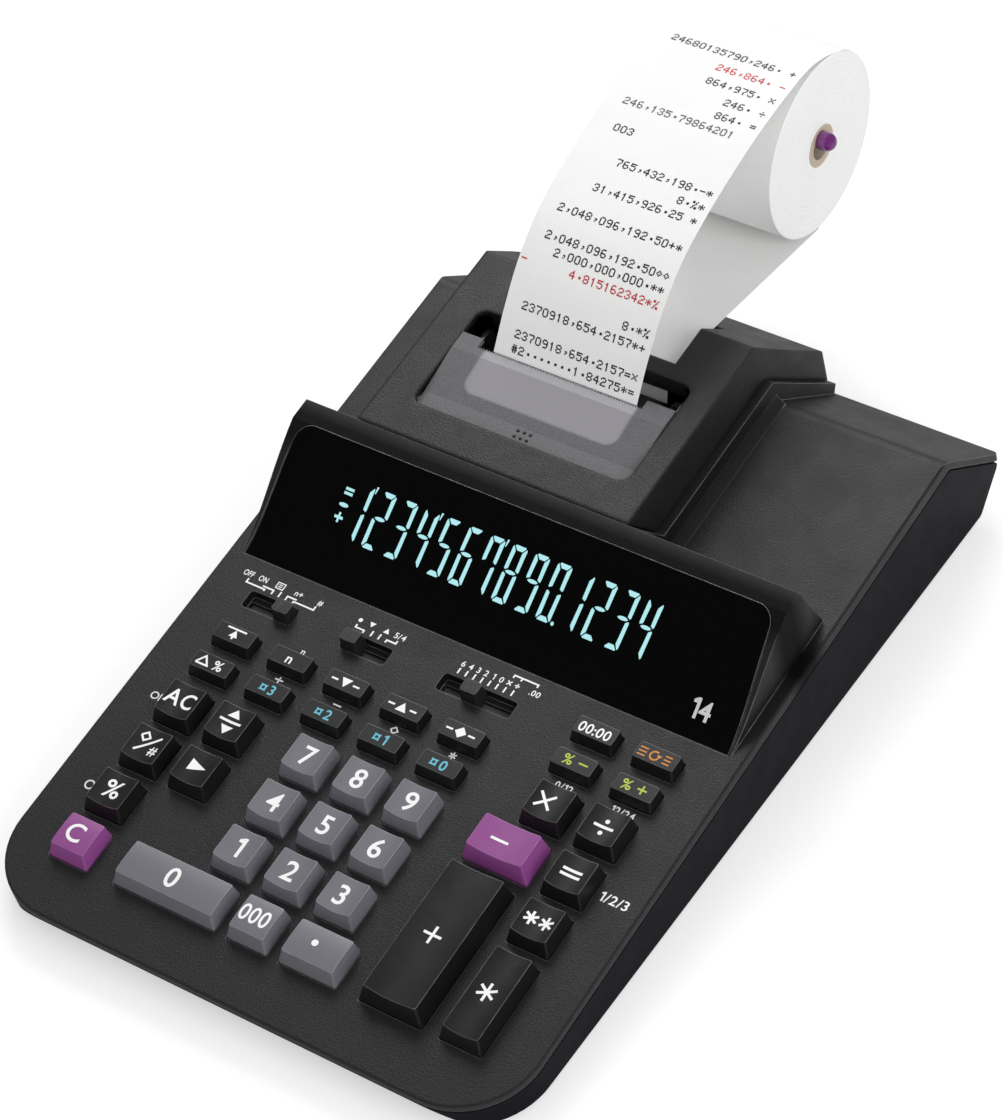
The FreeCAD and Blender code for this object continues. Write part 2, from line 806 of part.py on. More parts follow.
bosses = draw(upper_case, "upper_bosses", "XY_Plane",
              [circle(x, y, size("boss_radius")) for x, y in screw_places],
              "boss_gap - boss_split")
pad(upper_case, bosses, "boss_split - boss_gap - case_wall / 2")
pilots = draw(upper_case, "pilot_holes", "XY_Plane",
              [circle(x, y, size("screw_radius") + size("pilot_gap")) for x, y in screw_places],
              "boss_gap - boss_split")
pocket(upper_case, pilots, "boss_split - boss_gap - case_wall * 1.5", flip=True)

# Two ears behind the printer for the roll arm, then the key slots
arm_left = -size("arm_side") - size("arm_thick")
ear_out = size("arm_side") + size("arm_thick") + size("ear_gap")
pivot = (size("arm_pivot_back"), -size("arm_pivot_drop"))
for k, edge in enumerate(("0 - arm_side - arm_thick - ear_gap - ear_thick / 2",
                          "0 - arm_side + ear_gap + ear_thick / 2")):
    web = draw(upper_case, "ear_%d_web" % (k + 1), "YZ_Plane", [rectangle(
        size("cover_end") - wall, pivot[0], pivot[1] - size("ear_radius"), pivot[1])], edge)
    pad(upper_case, web, "ear_thick", both=True)
    eye = draw(upper_case, "ear_%d_eye" % (k + 1), "YZ_Plane",
               [circle(pivot[0], pivot[1], size("ear_radius"))], edge)
    pad(upper_case, eye, "ear_thick", both=True)
ear_hole = draw(upper_case, "ear_holes", "YZ_Plane",
                [circle(pivot[0], pivot[1], size("pivot_radius") + size("pivot_gap"))],
                "0 - arm_side - arm_thick / 2")
pocket(upper_case, ear_hole, "arm_thick + ( ear_gap + ear_thick ) * 2", both=True)
slots = [rectangle(x - w / 2 - size("key_slot_gap"), x + w / 2 + size("key_slot_gap"),
                   y - d / 2 - size("key_slot_gap"), y + d / 2 + size("key_slot_gap"),
                   size("key_corner") + size("key_slot_gap"))
         for _, x, y, w, d, _ in KEYS]
key_slots = draw(upper_case, "key_slots", "XY_Plane", slots)
pocket(upper_case, key_slots, "case_wall * 2")

place(upper_case, "upper_case")
place(display_lens, "display_lens")

# Lower case
lower_case = trimmed_blank("lower_case", 0.0, lower_outer)
inner_lip = trimmed_blank("inner_lip", size("parting_groove"), lower_lip)
combine(lower_case, inner_lip, "Fuse")
hollow = trimmed_blank("lower_hollow", wall, lower_cavity)
combine(lower_case, hollow, "Cut")

board_posts = [(side * 78.0, back, board_low) for side in (-1, 1) for back in (-62.0, 52.0)]
frame_low = -size("frame_floor") - size("frame_plate")
frame_posts = [(x, y, frame_low) for x in (-size("frame_left") + 2 * size("post_radius"),
                                           size("frame_right") - 2 * size("post_radius"))
               for y in (size("frame_front") + 2 * size("post_radius"),
                         size("frame_back") - 2 * size("post_radius"))]
for k, (x, y, top) in enumerate(board_posts + frame_posts):
    post = draw(lower_case, "post_%d" % (k + 1), "XY_Plane", [circle(x, y, size("post_radius"))])
    post.AttachmentOffset = FreeCAD.Placement(V(0, 0, top), FreeCAD.Rotation())
    root = pad(lower_case, post, "case_wall", flip=True)
    root.setExpression("Length", None)
    root.Length = top - wall_bottom(y) - wall / 2
for k, (x, y) in enumerate(screw_places):
    tube = draw(lower_case, "lower_boss_%d" % (k + 1), "XY_Plane",
                [circle(x, y, size("boss_radius"))], "0 - boss_split")
    stand = pad(lower_case, tube, "case_wall", flip=True)
    stand.setExpression("Length", None)
    stand.Length = -size("boss_split") - wall_bottom(y) - wall / 2
screw_bores = draw(lower_case, "screw_bores", "XY_Plane",
                   [circle(x, y, size("screw_radius") + size("screw_clear"))
                    for x, y in screw_places], "0 - boss_split")
pocket(lower_case, screw_bores, "case_rear")
head_bores = draw(lower_case, "head_bores", "XY_Plane",
                  [circle(x, y, size("head_radius") + size("head_gap"))
                   for x, y in screw_places], "0 - boss_split - screw_grip")
pocket(lower_case, head_bores, "case_rear")
inlet = draw(lower_case, "cord_inlet", "XZ_Plane", [circle(
    size("cord_hole_side"), lower_nose[1] - 2 * size("cord_hole"), size("cord_hole"))],
    "0 - undercut_back")
pocket(lower_case, inlet, "case_wall * 10", both=True)
place(lower_case, "lower_case")

# Display tube behind the lens, along the upper part of the slope
tube_top = hump_inner_line[-1]
tube_foot = hump_inner_line[len(hump_inner_line) // 2 - 1]
tube_run = math.hypot(tube_top[0] - tube_foot[0], tube_top[1] - tube_foot[1])
tube_dir = ((tube_top[0] - tube_foot[0]) / tube_run, (tube_top[1] - tube_foot[1]) / tube_run)
tube_low = (tube_top[0] - tube_dir[0] * size("tube_reach"),
            tube_top[1] - tube_dir[1] * size("tube_reach"))
tube_front = shifted([tube_low, tube_top], -size("tube_gap"))
tube_back = shifted([tube_low, tube_top], -size("tube_gap") - size("tube_thick"))
display_tube = new_body("display_tube")
tube_side = draw(display_tube, "tube_side", "YZ_Plane",
                 [[tube_front[0], tube_front[1], tube_back[1], tube_back[0]]])
pad(display_tube, tube_side, "tube_half * 2", both=True)
place(display_tube, "display_tube")

# Main board and key mat
main_board = new_body("main_board")
board_plan = draw(main_board, "board_plan", "XY_Plane", [rectangle(
    -size("mat_half"), size("mat_half"), -size("board_front"), size("board_back"), 12.0)])
board_plan.AttachmentOffset = FreeCAD.Placement(V(0, 0, board_low), FreeCAD.Rotation())
pad(main_board, board_plan, "board_thick")
place(main_board, "main_board")
key_mat = new_body("key_mat")
mat_plan = draw(key_mat, "mat_plan", "XY_Plane", [rectangle(
    -size("mat_half"), size("mat_half"), 1.0 - size("board_front"), size("board_back") - 1.0,
    12.0)])
mat_plan.AttachmentOffset = FreeCAD.Placement(V(0, 0, mat_low), FreeCAD.Rotation())
pad(key_mat, mat_plan, "mat_thick")
place(key_mat, "key_mat")

# Printer cover
cover_slope = ((size("cover_end_top") + size("cover_top"))
               / (size("cover_end") - size("cover_ridge")))
skin = size("cover_wall")


def cover_surface(back):
    """Height of the cover's outer face behind its ridge."""
    return size("cover_top") - (back - size("cover_ridge")) * cover_slope


def web_height(back):
    """Height of the paper between the roll and the cover."""
    return entry[1] - (back - entry[0]) * web_rate


entry = (size("web_entry_back"), size("web_entry_up"))
roll_middle = (size("roll_back"), size("roll_up"))
paper_clear = size("paper_gap") + size("paper_thick") / 2
wrap = size("roll_radius") + paper_clear
reach = math.hypot(roll_middle[0] - entry[0], roll_middle[1] - entry[1])
web_angle = (math.asin(wrap / reach)
             - math.atan2(roll_middle[1] - entry[1], roll_middle[0] - entry[0]))
web_rate = math.tan(web_angle)
leave_long = math.sqrt(reach ** 2 - wrap ** 2)
leave = (entry[0] + leave_long * math.cos(web_angle),
         entry[1] - leave_long * math.sin(web_angle))

cover_outer = [
    (size("band_back") + size("cover_gap"), size("cover_top")),
    (size("cover_ridge"), size("cover_top"), 1.5),
    (size("cover_end"), -size("cover_end_top"), 2.0),
    (size("cover_end"), -size("cover_end_low")),
    (seam_knee_back, size("cover_seam")),
    (size("cover_seam_front"), size("cover_seam")),
]
cover_inner = [
    (size("band_back") + size("cover_gap") + skin * 1.2, size("cover_top") - skin),
    (size("cover_ridge") - skin / 2, size("cover_top") - skin),
    (size("cover_end") - skin, -size("cover_end_top") - skin / 2),
    (size("cover_end") - skin, -size("cover_end_low") - 2 * skin),
    (seam_knee_back - 2 * skin, size("cover_seam") - 2 * skin),
    (size("cover_seam_front") + skin * 1.2, size("cover_seam") - 2 * skin),
]
printer_cover = new_body("printer_cover")
middle_shift = "( cover_right - cover_left ) / 2"
shell = draw(printer_cover, "cover_side", "YZ_Plane", [cover_outer], middle_shift)
pad(printer_cover, shell, "cover_left + cover_right + cover_flare * 2", both=True)
flares = []
for side in (-1, 1):
    top_edge = cover_middle + side * cover_half
    foot_edge = cover_middle + side * flare
    far_edge = cover_middle + side * (flare + wall)
    flares.append([(top_edge, size("cover_top")), (foot_edge, size("cover_seam")),
                   (far_edge, size("cover_seam")), (far_edge, size("cover_top") + wall),
                   (top_edge, size("cover_top") + wall)])
lean = draw(printer_cover, "cover_flares", "XZ_Plane", flares,
            "0 - ( cover_front + cover_end ) / 2")
pocket(printer_cover, lean, "cover_end", both=True)
inside = draw(printer_cover, "cover_inside", "YZ_Plane", [cover_inner], middle_shift)
pocket(printer_cover, inside, "cover_left + cover_right - cover_wall * 2", both=True)

# Chute under the notch that guides the paper in
ramp_front = entry[0] + skin
ramp_back = size("notch_back")
ramp_drop = size("ramp_gap")
chute = draw(printer_cover, "chute", "YZ_Plane", [[
    (ramp_front, web_height(ramp_front) - ramp_drop - skin),
    (ramp_front, size("cover_top") - skin / 2),
    (size("cover_ridge") - skin, size("cover_top") - skin / 2),
    (ramp_back + skin / 2, cover_surface(ramp_back + skin / 2) - skin / 2),
    (ramp_back - skin / 2, web_height(ramp_back) - ramp_drop - skin),
]], "( notch_right - notch_left ) / 2")
pad(printer_cover, chute, "notch_left + notch_right + cover_wall * 2", both=True)
channel = draw(printer_cover, "channel", "YZ_Plane", [[
    (ramp_front - skin, web_height(ramp_front) - ramp_drop),
    (ramp_back + 2 * skin, web_height(ramp_back + 2 * skin) - ramp_drop),
    (ramp_back + 2 * skin, size("cover_top") + skin),
    (size("window_back") + size("bridge_depth"), size("cover_top") + skin, 1.0),
    (size("window_back") + size("bridge_depth"), size("cover_top") - skin, 1.0),
    (ramp_front - skin, size("cover_top") - skin),
]], "( notch_right - notch_left ) / 2")
pocket(printer_cover, channel, "notch_left + notch_right", both=True)

opening = draw(printer_cover, "window", "XY_Plane", [rectangle(
    -size("window_left"), size("window_right"), size("window_front"), size("window_back"),
    size("window_corner"))], "cover_top")
pocket(printer_cover, opening, "cover_wall * 2")
lip = draw(printer_cover, "bridge_lip", "XY_Plane", [rectangle(
    -size("window_left") + size("window_corner"), size("window_right") - size("window_corner"),
    size("window_back"), size("window_back") + size("lip_thick"))], "cover_top - bridge_lip")
pad(printer_cover, lip, "bridge_lip - cover_wall / 2")

# Lugs at the front corners of the window carry the cutter cover's pins
pin_back = size("window_front") + size("pin_inset")
pin_up = size("cover_top") - size("cutter_sink") - size("cutter_thick") / 2
lug_low = pin_up - size("cutter_pin") - 2 * size("pin_gap") - skin / 2
lugs = draw(printer_cover, "pin_lugs", "XY_Plane", [
    rectangle(a, a + size("lug_thick"), pin_back - 2 * size("cutter_pin"),
              pin_back + 2 * size("cutter_pin"))
    for a in (-size("window_left") - size("lug_thick"), size("window_right"))])
lugs.AttachmentOffset = FreeCAD.Placement(V(0, 0, lug_low), FreeCAD.Rotation())
lug_pad = pad(printer_cover, lugs, "cover_top - cover_wall / 2")
lug_pad.setExpression("Length", None)
lug_pad.Length = size("cover_top") - skin / 2 - lug_low
pin_bore = draw(printer_cover, "pin_bores", "YZ_Plane", [circle(
    pin_back, pin_up, size("cutter_pin") + size("pin_gap"))],
    "( window_right - window_left ) / 2")
pocket(printer_cover, pin_bore, "window_left + window_right + lug_thick * 2", both=True)
place(printer_cover, "printer_cover")

# Smoke cutter cover with its serrated tear edge
cutter_cover = new_body("cutter_cover")
cut_front = size("window_front") + size("cutter_gap")
cut_left = -size("window_left") + size("cutter_gap")
cut_right = size("window_right") - size("cutter_gap")
cut_top = [(cut_front, size("cover_top") - size("cutter_sink")),
           (pin_back + 3 * size("cutter_pin"), size("cover_top") - size("cutter_sink")),
           (size("tear_back") - size("tear_bend") / 2, size("cover_top") + size("tear_rise")),
           (size("tear_side"), size("cover_top") + size("tear_rise"))]
cut_line = cut_top + list(reversed(shifted(cut_top, -size("cutter_thick"))))
plate = draw(cutter_cover, "cutter_side", "YZ_Plane", [cut_line],
             "( window_right - window_left ) / 2")
pad(cutter_cover, plate, "window_left + window_right - cutter_gap * 2", both=True)
teeth = []
count = int(round((size("tear_right") + size("tear_left")) / size("tooth_pitch")))
step = (size("tear_right") + size("tear_left")) / count
for k in range(count):
    x = -size("tear_left") + k * step
    teeth.append((x, size("tear_back") - size("tooth_depth")))
    teeth.append((x + step / 2, size("tear_back")))
teeth.append((size("tear_right"), size("tear_back") - size("tooth_depth")))
teeth.append((size("tear_right"), size("tear_side") + wall))
teeth.append((-size("tear_left"), size("tear_side") + wall))
bite = draw(cutter_cover, "tear_edge", "XY_Plane", [teeth], "cover_top + tear_rise")
pocket(cutter_cover, bite, "cutter_thick * 3")
for k, place_pin in enumerate(("window_right - cutter_gap", "0 - window_left + cutter_gap")):
    pin = draw(cutter_cover, "pin_%d" % (k + 1), "YZ_Plane",
               [circle(pin_back, pin_up, size("cutter_pin"))], place_pin)
    pad(cutter_cover, pin, "cutter_gap + lug_thick * 0.8", flip=(k == 1))
place(cutter_cover, "cutter_cover")

# Printer frame: a floor, two side plates and two rails
printer_frame = new_body("printer_frame")
frame_wide = size("frame_left") + size("frame_right")
base = draw(printer_frame, "frame_floor_plate", "XY_Plane", [rectangle(
    -size("frame_left"), size("frame_right"), size("frame_front"), size("frame_back"), 3.0)],
    "0 - frame_floor - frame_plate")
pad(printer_frame, base, "frame_plate")
side_back = size("window_back") - size("lip_clear")
for k, at in enumerate(("0 - frame_left + frame_plate / 2", "frame_right - frame_plate / 2")):
    cheek = draw(printer_frame, "frame_side_%d" % (k + 1), "YZ_Plane", [[
        (size("frame_front") + wall, -size("frame_floor") - size("frame_plate") / 2),
        (side_back, -size("frame_floor") - size("frame_plate") / 2),
        (side_back, size("frame_top"), 3.0),
        (size("frame_front") + wall, size("frame_top"), 5.0)]], at)
    pad(printer_frame, cheek, "frame_plate", both=True)
rails = draw(printer_frame, "rails", "YZ_Plane", [
    circle(size("rail_back"), size("rail_low"), size("rail_radius")),
    circle(size("rail_back"), size("rail_high"), size("rail_radius"))],
    "( frame_right - frame_left ) / 2")
pad(printer_frame, rails, "frame_left + frame_right", both=True)
bearings = draw(printer_frame, "bearings", "YZ_Plane", [circle(
    size("platen_back"), size("platen_up"), size("shaft_radius") + size("shaft_gap"))],
    "( frame_right - frame_left ) / 2")
pocket(printer_frame, bearings, "frame_left + frame_right + case_wall", both=True)
place(printer_frame, "printer_frame")

# Platen roller with its shaft and drive gear
platen_roller = new_body("platen_roller")
roller = draw(platen_roller, "roller", "YZ_Plane", [circle(
    size("platen_back"), size("platen_up"), size("platen_radius"))], "paper_middle")
pad(platen_roller, roller, "paper_width + case_wall", both=True)
shaft = draw(platen_roller, "shaft", "YZ_Plane", [circle(
    size("platen_back"), size("platen_up"), size("shaft_radius"))],
    "( frame_right - frame_left ) / 2")
pad(platen_roller, shaft, "frame_left + frame_right + case_wall", both=True)
gear_line = []
gear_count = int(size("gear_teeth"))
for k in range(gear_count):
    for part, radius in ((0.0, size("gear_root")), (0.3, size("gear_root")),
                         (0.45, size("gear_root") + size("tooth_height")),
                         (0.75, size("gear_root") + size("tooth_height"))):
        a = 2 * math.pi * (k + part) / gear_count
        gear_line.append((size("platen_back") + radius * math.cos(a),
                          size("platen_up") + radius * math.sin(a)))
gear = draw(platen_roller, "gear", "YZ_Plane", [gear_line],
            "frame_right - frame_plate - gear_gap - gear_width / 2")
pad(platen_roller, gear, "gear_width", both=True)
place(platen_roller, "platen_roller")

# Print head on the two rails
print_head = new_body("print_head")
block = draw(print_head, "head_block", "YZ_Plane", [rectangle(
    size("head_front"), size("head_block_back"), size("rail_low") - 2 * size("rail_radius"),
    size("rail_high") + 2 * size("rail_radius"), 1.5)], "0 - head_start")
pad(print_head, block, "head_width", both=True)
nose_face = size("platen_back") - size("platen_radius") - paper_clear * 2 - size("nose_gap")
nose_block = draw(print_head, "head_nose", "YZ_Plane", [rectangle(
    size("head_block_back") - wall, nose_face, size("platen_up") - size("nose_height") / 2,
    size("platen_up") + size("nose_height") / 2, 0.6)], "0 - head_start")
pad(print_head, nose_block, "nose_width", both=True)
guides = draw(print_head, "head_guides", "YZ_Plane", [
    circle(size("rail_back"), size("rail_low"), size("rail_radius") + size("shaft_gap")),
    circle(size("rail_back"), size("rail_high"), size("rail_radius") + size("shaft_gap"))],
    "0 - head_start")
pocket(print_head, guides, "head_width * 2", both=True)
place(print_head, "print_head")

# Paper: from the roll through the chute, round the platen, out at the tear edge and back over
# the roll. Corners are given with their bend radius.
platen_wrap = size("platen_radius") + paper_clear
platen_middle = (size("platen_back"), size("platen_up"))
tear_point = (size("tear_back") + paper_clear + size("tear_clear"), size("cover_top"))


def tangent_point(point, centre, radius, side):
    """Where a line from a point touches a circle, on the side asked for."""
    far = math.hypot(point[0] - centre[0], point[1] - centre[1])
    at = math.atan2(point[1] - centre[1], point[0] - centre[0])
    turn = at + side * math.acos(radius / far)
    return (centre[0] + radius * math.cos(turn), centre[1] + radius * math.sin(turn))


behind = tangent_point(entry, platen_middle, platen_wrap, -1)
ahead = tangent_point(tear_point, platen_middle, platen_wrap, 1)
under = platen_middle[1] - platen_wrap
floor_line = [(0.0, under), (1.0, under)]
paper_corners = [
    leave,
    (entry[0], entry[1], size("chute_bend")),
    meet([entry, behind], floor_line) + (platen_wrap,),
    meet([tear_point, ahead], floor_line) + (platen_wrap,),
    tear_point + (size("tear_bend"),),
]
drape_points = [(tear_point[0] + a, tear_point[1] + b) for a, b in (
    (10.9, 11.7), (24.0, 23.2), (39.6, 32.1), (58.5, 37.4), (87.3, 41.4), (113.5, 41.9),
    (129.5, 39.5), (145.9, 30.6), (153.3, 23.2))]
drape = smooth_chain(drape_points, 18)
first_run = open_path(paper_corners + [drape_points[0]], 4)
paper_line = first_run + drape[1:]
paper_tape = new_body("paper_tape")
strip = draw(paper_tape, "strip", "YZ_Plane", [ribbon(
    paper_line, size("paper_thick") / 2, -size("paper_thick") / 2)], "paper_middle")
pad(paper_tape, strip, "paper_width", both=True)
place(paper_tape, "paper_tape")

# Roll and its core
paper_roll = new_body("paper_roll")
wound = draw(paper_roll, "wound", "YZ_Plane", [
    circle(roll_middle[0], roll_middle[1], size("roll_radius")),
    circle(roll_middle[0], roll_middle[1], size("core_radius"))], "paper_middle")
pad(paper_roll, wound, "paper_width", both=True)
place(paper_roll, "paper_roll")
roll_core = new_body("roll_core")
tube_ring = draw(roll_core, "core_ring", "YZ_Plane", [
    circle(roll_middle[0], roll_middle[1], size("core_radius")),
    circle(roll_middle[0], roll_middle[1], size("core_bore"))], "paper_middle")
pad(roll_core, tube_ring, "paper_width", both=True)
place(roll_core, "roll_core")

# Arm with its pivot pin and spindle
roll_arm = new_body("roll_arm")
spindle_at = (roll_middle[0], spindle_up)
arm_end = size("arm_width") / 2
arm_shift = "0 - arm_side - arm_thick / 2"
hub = draw(roll_arm, "hub", "YZ_Plane",
           [circle(pivot[0], pivot[1], size("ear_radius"))], arm_shift)
pad(roll_arm, hub, "arm_thick", both=True)
head = draw(roll_arm, "arm_head", "YZ_Plane",
            [circle(spindle_at[0], spindle_at[1], arm_end)], arm_shift)
pad(roll_arm, head, "arm_thick", both=True)
axis_line = [pivot, spindle_at]
blade_left = shifted(axis_line, size("ear_radius") * 0.98)
blade_right = shifted(axis_line, -size("ear_radius") * 0.98)
blade = draw(roll_arm, "blade", "YZ_Plane",
             [[blade_left[0], blade_left[1], blade_right[1], blade_right[0]]], arm_shift)
pad(roll_arm, blade, "arm_thick", both=True)
pivot_pin = draw(roll_arm, "pivot_pin", "YZ_Plane",
                 [circle(pivot[0], pivot[1], size("pivot_radius"))], arm_shift)
pad(roll_arm, pivot_pin, "arm_thick + ( ear_gap + ear_thick ) * 2", both=True)
spindle = draw(roll_arm, "spindle", "YZ_Plane",
               [circle(spindle_at[0], spindle_at[1], size("spindle_radius"))],
               "0 - arm_side - arm_thick / 2")
pad(roll_arm, spindle, "arm_side + arm_thick / 2 + paper_middle + paper_width / 2 + ear_gap")
place(roll_arm, "roll_arm")

# Domed cap on the spindle's end
spindle_cap = new_body("spindle_cap")
cap_start = paper_right + size("ear_gap")
dome_rise = size("cap_length") * 0.55
dome_radius = (size("cap_radius") ** 2 + dome_rise ** 2) / (2 * dome_rise)
dome_middle = cap_start + size("cap_length") - dome_radius
dome_half = math.asin(size("cap_radius") / dome_radius) / 2
bulge = Part.Arc(V(cap_start + size("cap_length") * 0.45, size("cap_radius"), 0),
                 V(dome_middle + dome_radius * math.cos(dome_half),
                   dome_radius * math.sin(dome_half), 0),
                 V(cap_start + size("cap_length"), 0, 0))
cap_half = [Part.LineSegment(V(cap_start, 0, 0), V(cap_start, size("cap_radius"), 0)),
            Part.LineSegment(V(cap_start, size("cap_radius"), 0),
                             V(cap_start + size("cap_length") * 0.45, size("cap_radius"), 0)),
            bulge,
            Part.LineSegment(V(cap_start + size("cap_length"), 0, 0), V(cap_start, 0, 0))]
outline = draw(spindle_cap, "cap_outline", "XY_Plane", [cap_half])
outline.AttachmentOffset = FreeCAD.Placement(
    V(0, spindle_at[0], spindle_at[1]), FreeCAD.Rotation())
turned = spindle_cap.newObject("PartDesign::Revolution", "cap_turned")
turned.Profile = outline
turned.ReferenceAxis = (outline, ["H_Axis"])
turned.Angle = 360.0
spindle_cap.Tip = turned
place(spindle_cap, "spindle_cap")


def key_plan(x, y, width, depth, grow):
    """Rounded rectangle of a key, grown all round."""
    return rectangle(x - width / 2 - grow, x + width / 2 + grow, y - depth / 2 - grow,
                     y + depth / 2 + grow, size("key_corner"))


def make_key(name, x, y, width, depth, form):
    """A keycap with leaning sides, a shaped top, a hollow, a stem and a flange below the deck."""
    rise_name = CAP_FORMS[form][0]
    rise, side, ahead_in, back_in = [size(word) for word in CAP_FORMS[form]]
    near = y - depth / 2 + ahead_in
    far = y + depth / 2 - back_in
    half = width / 2 - side
    body = new_body("key_" + name)
    tag = body.Name
    skirt = draw(body, tag + "_skirt", "XY_Plane", [key_plan(x, y, width, depth, 0.0)],
                 "0 - case_wall - key_flange_gap - key_flange_thick")
    pad(body, skirt, "case_wall + key_flange_gap + key_flange_thick + deck_edge / 2")
    flange = draw(body, tag + "_flange", "XY_Plane",
                  [key_plan(x, y, width, depth, size("key_flange"))],
                  "0 - case_wall - key_flange_gap - key_flange_thick")
    pad(body, flange, "key_flange_thick")
    low = draw(body, tag + "_low", "XY_Plane", [key_plan(x, y, width, depth, 0.0)],
               "deck_edge / 2")
    high = draw(body, tag + "_high", "XY_Plane",
                [rectangle(x - half, x + half, near, far, size("key_corner"))], rise_name)
    cap = body.newObject("PartDesign::AdditiveLoft", tag + "_cap")
    cap.Profile = low
    cap.Sections = [high]
    cap.Ruled = True
    body.Tip = cap
    if form == "small":
        return place(body, "key_" + name)
    sag_name = "key_dish"
    if form == "crowned":
        sag_name = "key_crown"
        edge = rise - size(sag_name)
        over = rise + size(sag_name)
        arch = Part.Arc(V(near - side, edge, 0), V((near + far) / 2, rise, 0),
                        V(far + side, edge, 0))
        outside = [arch] + [Part.LineSegment(V(*a, 0), V(*b, 0)) for a, b in (
            ((far + side, edge), (far + side, over)), ((far + side, over), (near - side, over)),
            ((near - side, over), (near - side, edge)))]
        shaping = draw(body, tag + "_crown", "YZ_Plane", [outside])
    else:
        sag = size(sag_name)
        dish_radius = (half ** 2 + sag ** 2) / (2 * sag)
        shaping = draw(body, tag + "_dish", "XZ_Plane",
                       [circle(x, rise - sag + dish_radius, dish_radius)])
        shaping.AttachmentOffset = FreeCAD.Placement(V(0, 0, -y), FreeCAD.Rotation())
    pocket(body, shaping, "case_width", both=True)
    hollow_cut = draw(body, tag + "_hollow", "XY_Plane", [rectangle(
        x - half + size("key_wall"), x + half - size("key_wall"),
        near + size("key_wall"), far - size("key_wall")), circle(x, y, size("key_stem"))],
        "0 - case_wall - key_flange_gap - key_flange_thick")
    pocket(body, hollow_cut, "case_wall + key_flange_gap + key_flange_thick + %s - %s - key_roof"
           % (rise_name, sag_name), flip=True)
    return place(body, "key_" + name)


for entry_row in KEYS:
    make_key(*entry_row)


def make_knob(name, x):
    """A switch knob with a leaning head, a stem through the slit and a foot under the well."""
    body = new_body(name)
    half = size("knob_width") / 2
    low_y = size("slot_front") + size("knob_gap")
    high_y = size("slot_front") + size("slot_depth") - size("knob_gap")
    floor = draw(body, name + "_floor", "XY_Plane", [rectangle(
        x - half, x + half, low_y, high_y, 1.0)], "knob_gap - well_depth")
    pad(body, floor, "well_depth - knob_gap")
    foot_loop = draw(body, name + "_low", "XY_Plane", [rectangle(
        x - half, x + half, low_y, high_y, 1.0)])
    top_loop = draw(body, name + "_high", "XY_Plane", [rectangle(
        x - half + size("knob_inset"), x + half - size("knob_inset"), low_y + size("knob_lean"),
        high_y - size("knob_lean"), 1.0)], "knob_rise")
    head_loft = body.newObject("PartDesign::AdditiveLoft", name + "_head")
    head_loft.Profile = foot_loop
    head_loft.Sections = [top_loop]
    head_loft.Ruled = True
    body.Tip = head_loft
    stem = draw(body, name + "_stem", "XY_Plane", [rectangle(
        x - size("stem_width") / 2, x + size("stem_width") / 2,
        slot_middle - size("stem_thick") / 2, slot_middle + size("stem_thick") / 2)],
        "0 - well_depth - well_wall - knob_gap - foot_thick / 2")
    pad(body, stem, "well_wall + knob_gap * 2 + foot_thick")
    foot = draw(body, name + "_foot", "XY_Plane", [rectangle(
        x - size("stem_width") / 2, x + size("stem_width") / 2, low_y, high_y)],
        "0 - well_depth - well_wall - knob_gap - foot_thick")
    pad(body, foot, "foot_thick")
    groove = draw(body, name + "_groove", "XY_Plane", [rectangle(
        x - half * 0.3, x - half * 0.3 + size("knob_inset") * 1.5,
        low_y, high_y)], "knob_rise")
    pocket(body, groove, "knob_inset")
    return place(body, name)


for name, _, _, x in SWITCHES:
    make_knob(name, x)

# Rubber feet under the flat bottom, in the ground frame
feet = []
foot_front = (to_ground(*front_bottom)[0] + centre_shift + size("foot_edge"))
foot_back = (to_ground(*rear_bottom)[0] + centre_shift - size("foot_edge"))
for k, (side, back) in enumerate(((-1, foot_front), (1, foot_front), (-1, foot_back),
                                  (1, foot_back))):
    foot = doc.addObject("Part::Cylinder", "foot_%d" % (k + 1))
    foot.setExpression("Radius", "sizes.foot_radius")
    foot.setExpression("Height", "sizes.foot_height")
    foot.Placement = FreeCAD.Placement(
        V(side * (half_width - size("foot_edge")), back, 0), FreeCAD.Rotation())
    feet.append(foot)
rubber_feet = doc.addObject("Part::Compound", "rubber_feet")
rubber_feet.Links = feet
rubber_feet.Label = "rubber_feet"
nodes.append(rubber_feet)

# Six case screws driven up from below
screws = []
for k, (x, y) in enumerate(screw_places):
    screw_head = doc.addObject("Part::Cylinder", "screw_head_%d" % (k + 1))
    screw_head.setExpression("Radius", "sizes.head_radius")
    screw_head.setExpression("Height", "sizes.head_height")
    under_grip = -size("boss_split") - size("screw_grip")
    screw_head.Placement = FreeCAD.Placement(
        V(x, y, under_grip - size("head_height")), FreeCAD.Rotation())
    shank = doc.addObject("Part::Cylinder", "screw_shank_%d" % (k + 1))
    shank.setExpression("Radius", "sizes.screw_radius")
    shank.setExpression("Height", "sizes.screw_length")
    shank.Placement = FreeCAD.Placement(
        V(x, y, under_grip - size("head_height") / 2), FreeCAD.Rotation())
    screw = doc.addObject("Part::Fuse", "screw_%d" % (k + 1))
    screw.Base = screw_head
    screw.Tool = shank
    screws.append(screw)
case_screws = doc.addObject("Part::Compound", "case_screws")
case_screws.Links = screws
place(case_screws, "case_screws")

doc.recompute()

# Checks, then one file for each piece
for thing in doc.Objects:
    if "Invalid" in thing.State or "Error" in thing.State:
        raise RuntimeError("%s did not build: %s" % (thing.Name, thing.State))
for thing in nodes:
    if thing.Shape.isNull() or not thing.Shape.isValid():
        raise RuntimeError("%s has no sound shape" % thing.Label)
os.makedirs("parts", exist_ok=True)
for thing in nodes:
    thing.Shape.exportStep("parts/%s.step" % thing.Label)
    print("%-22s %2d solid(s) %10.1f mm3" % (
        thing.Label, len(thing.Shape.Solids), thing.Shape.Volume))
print(len(nodes), "pieces")
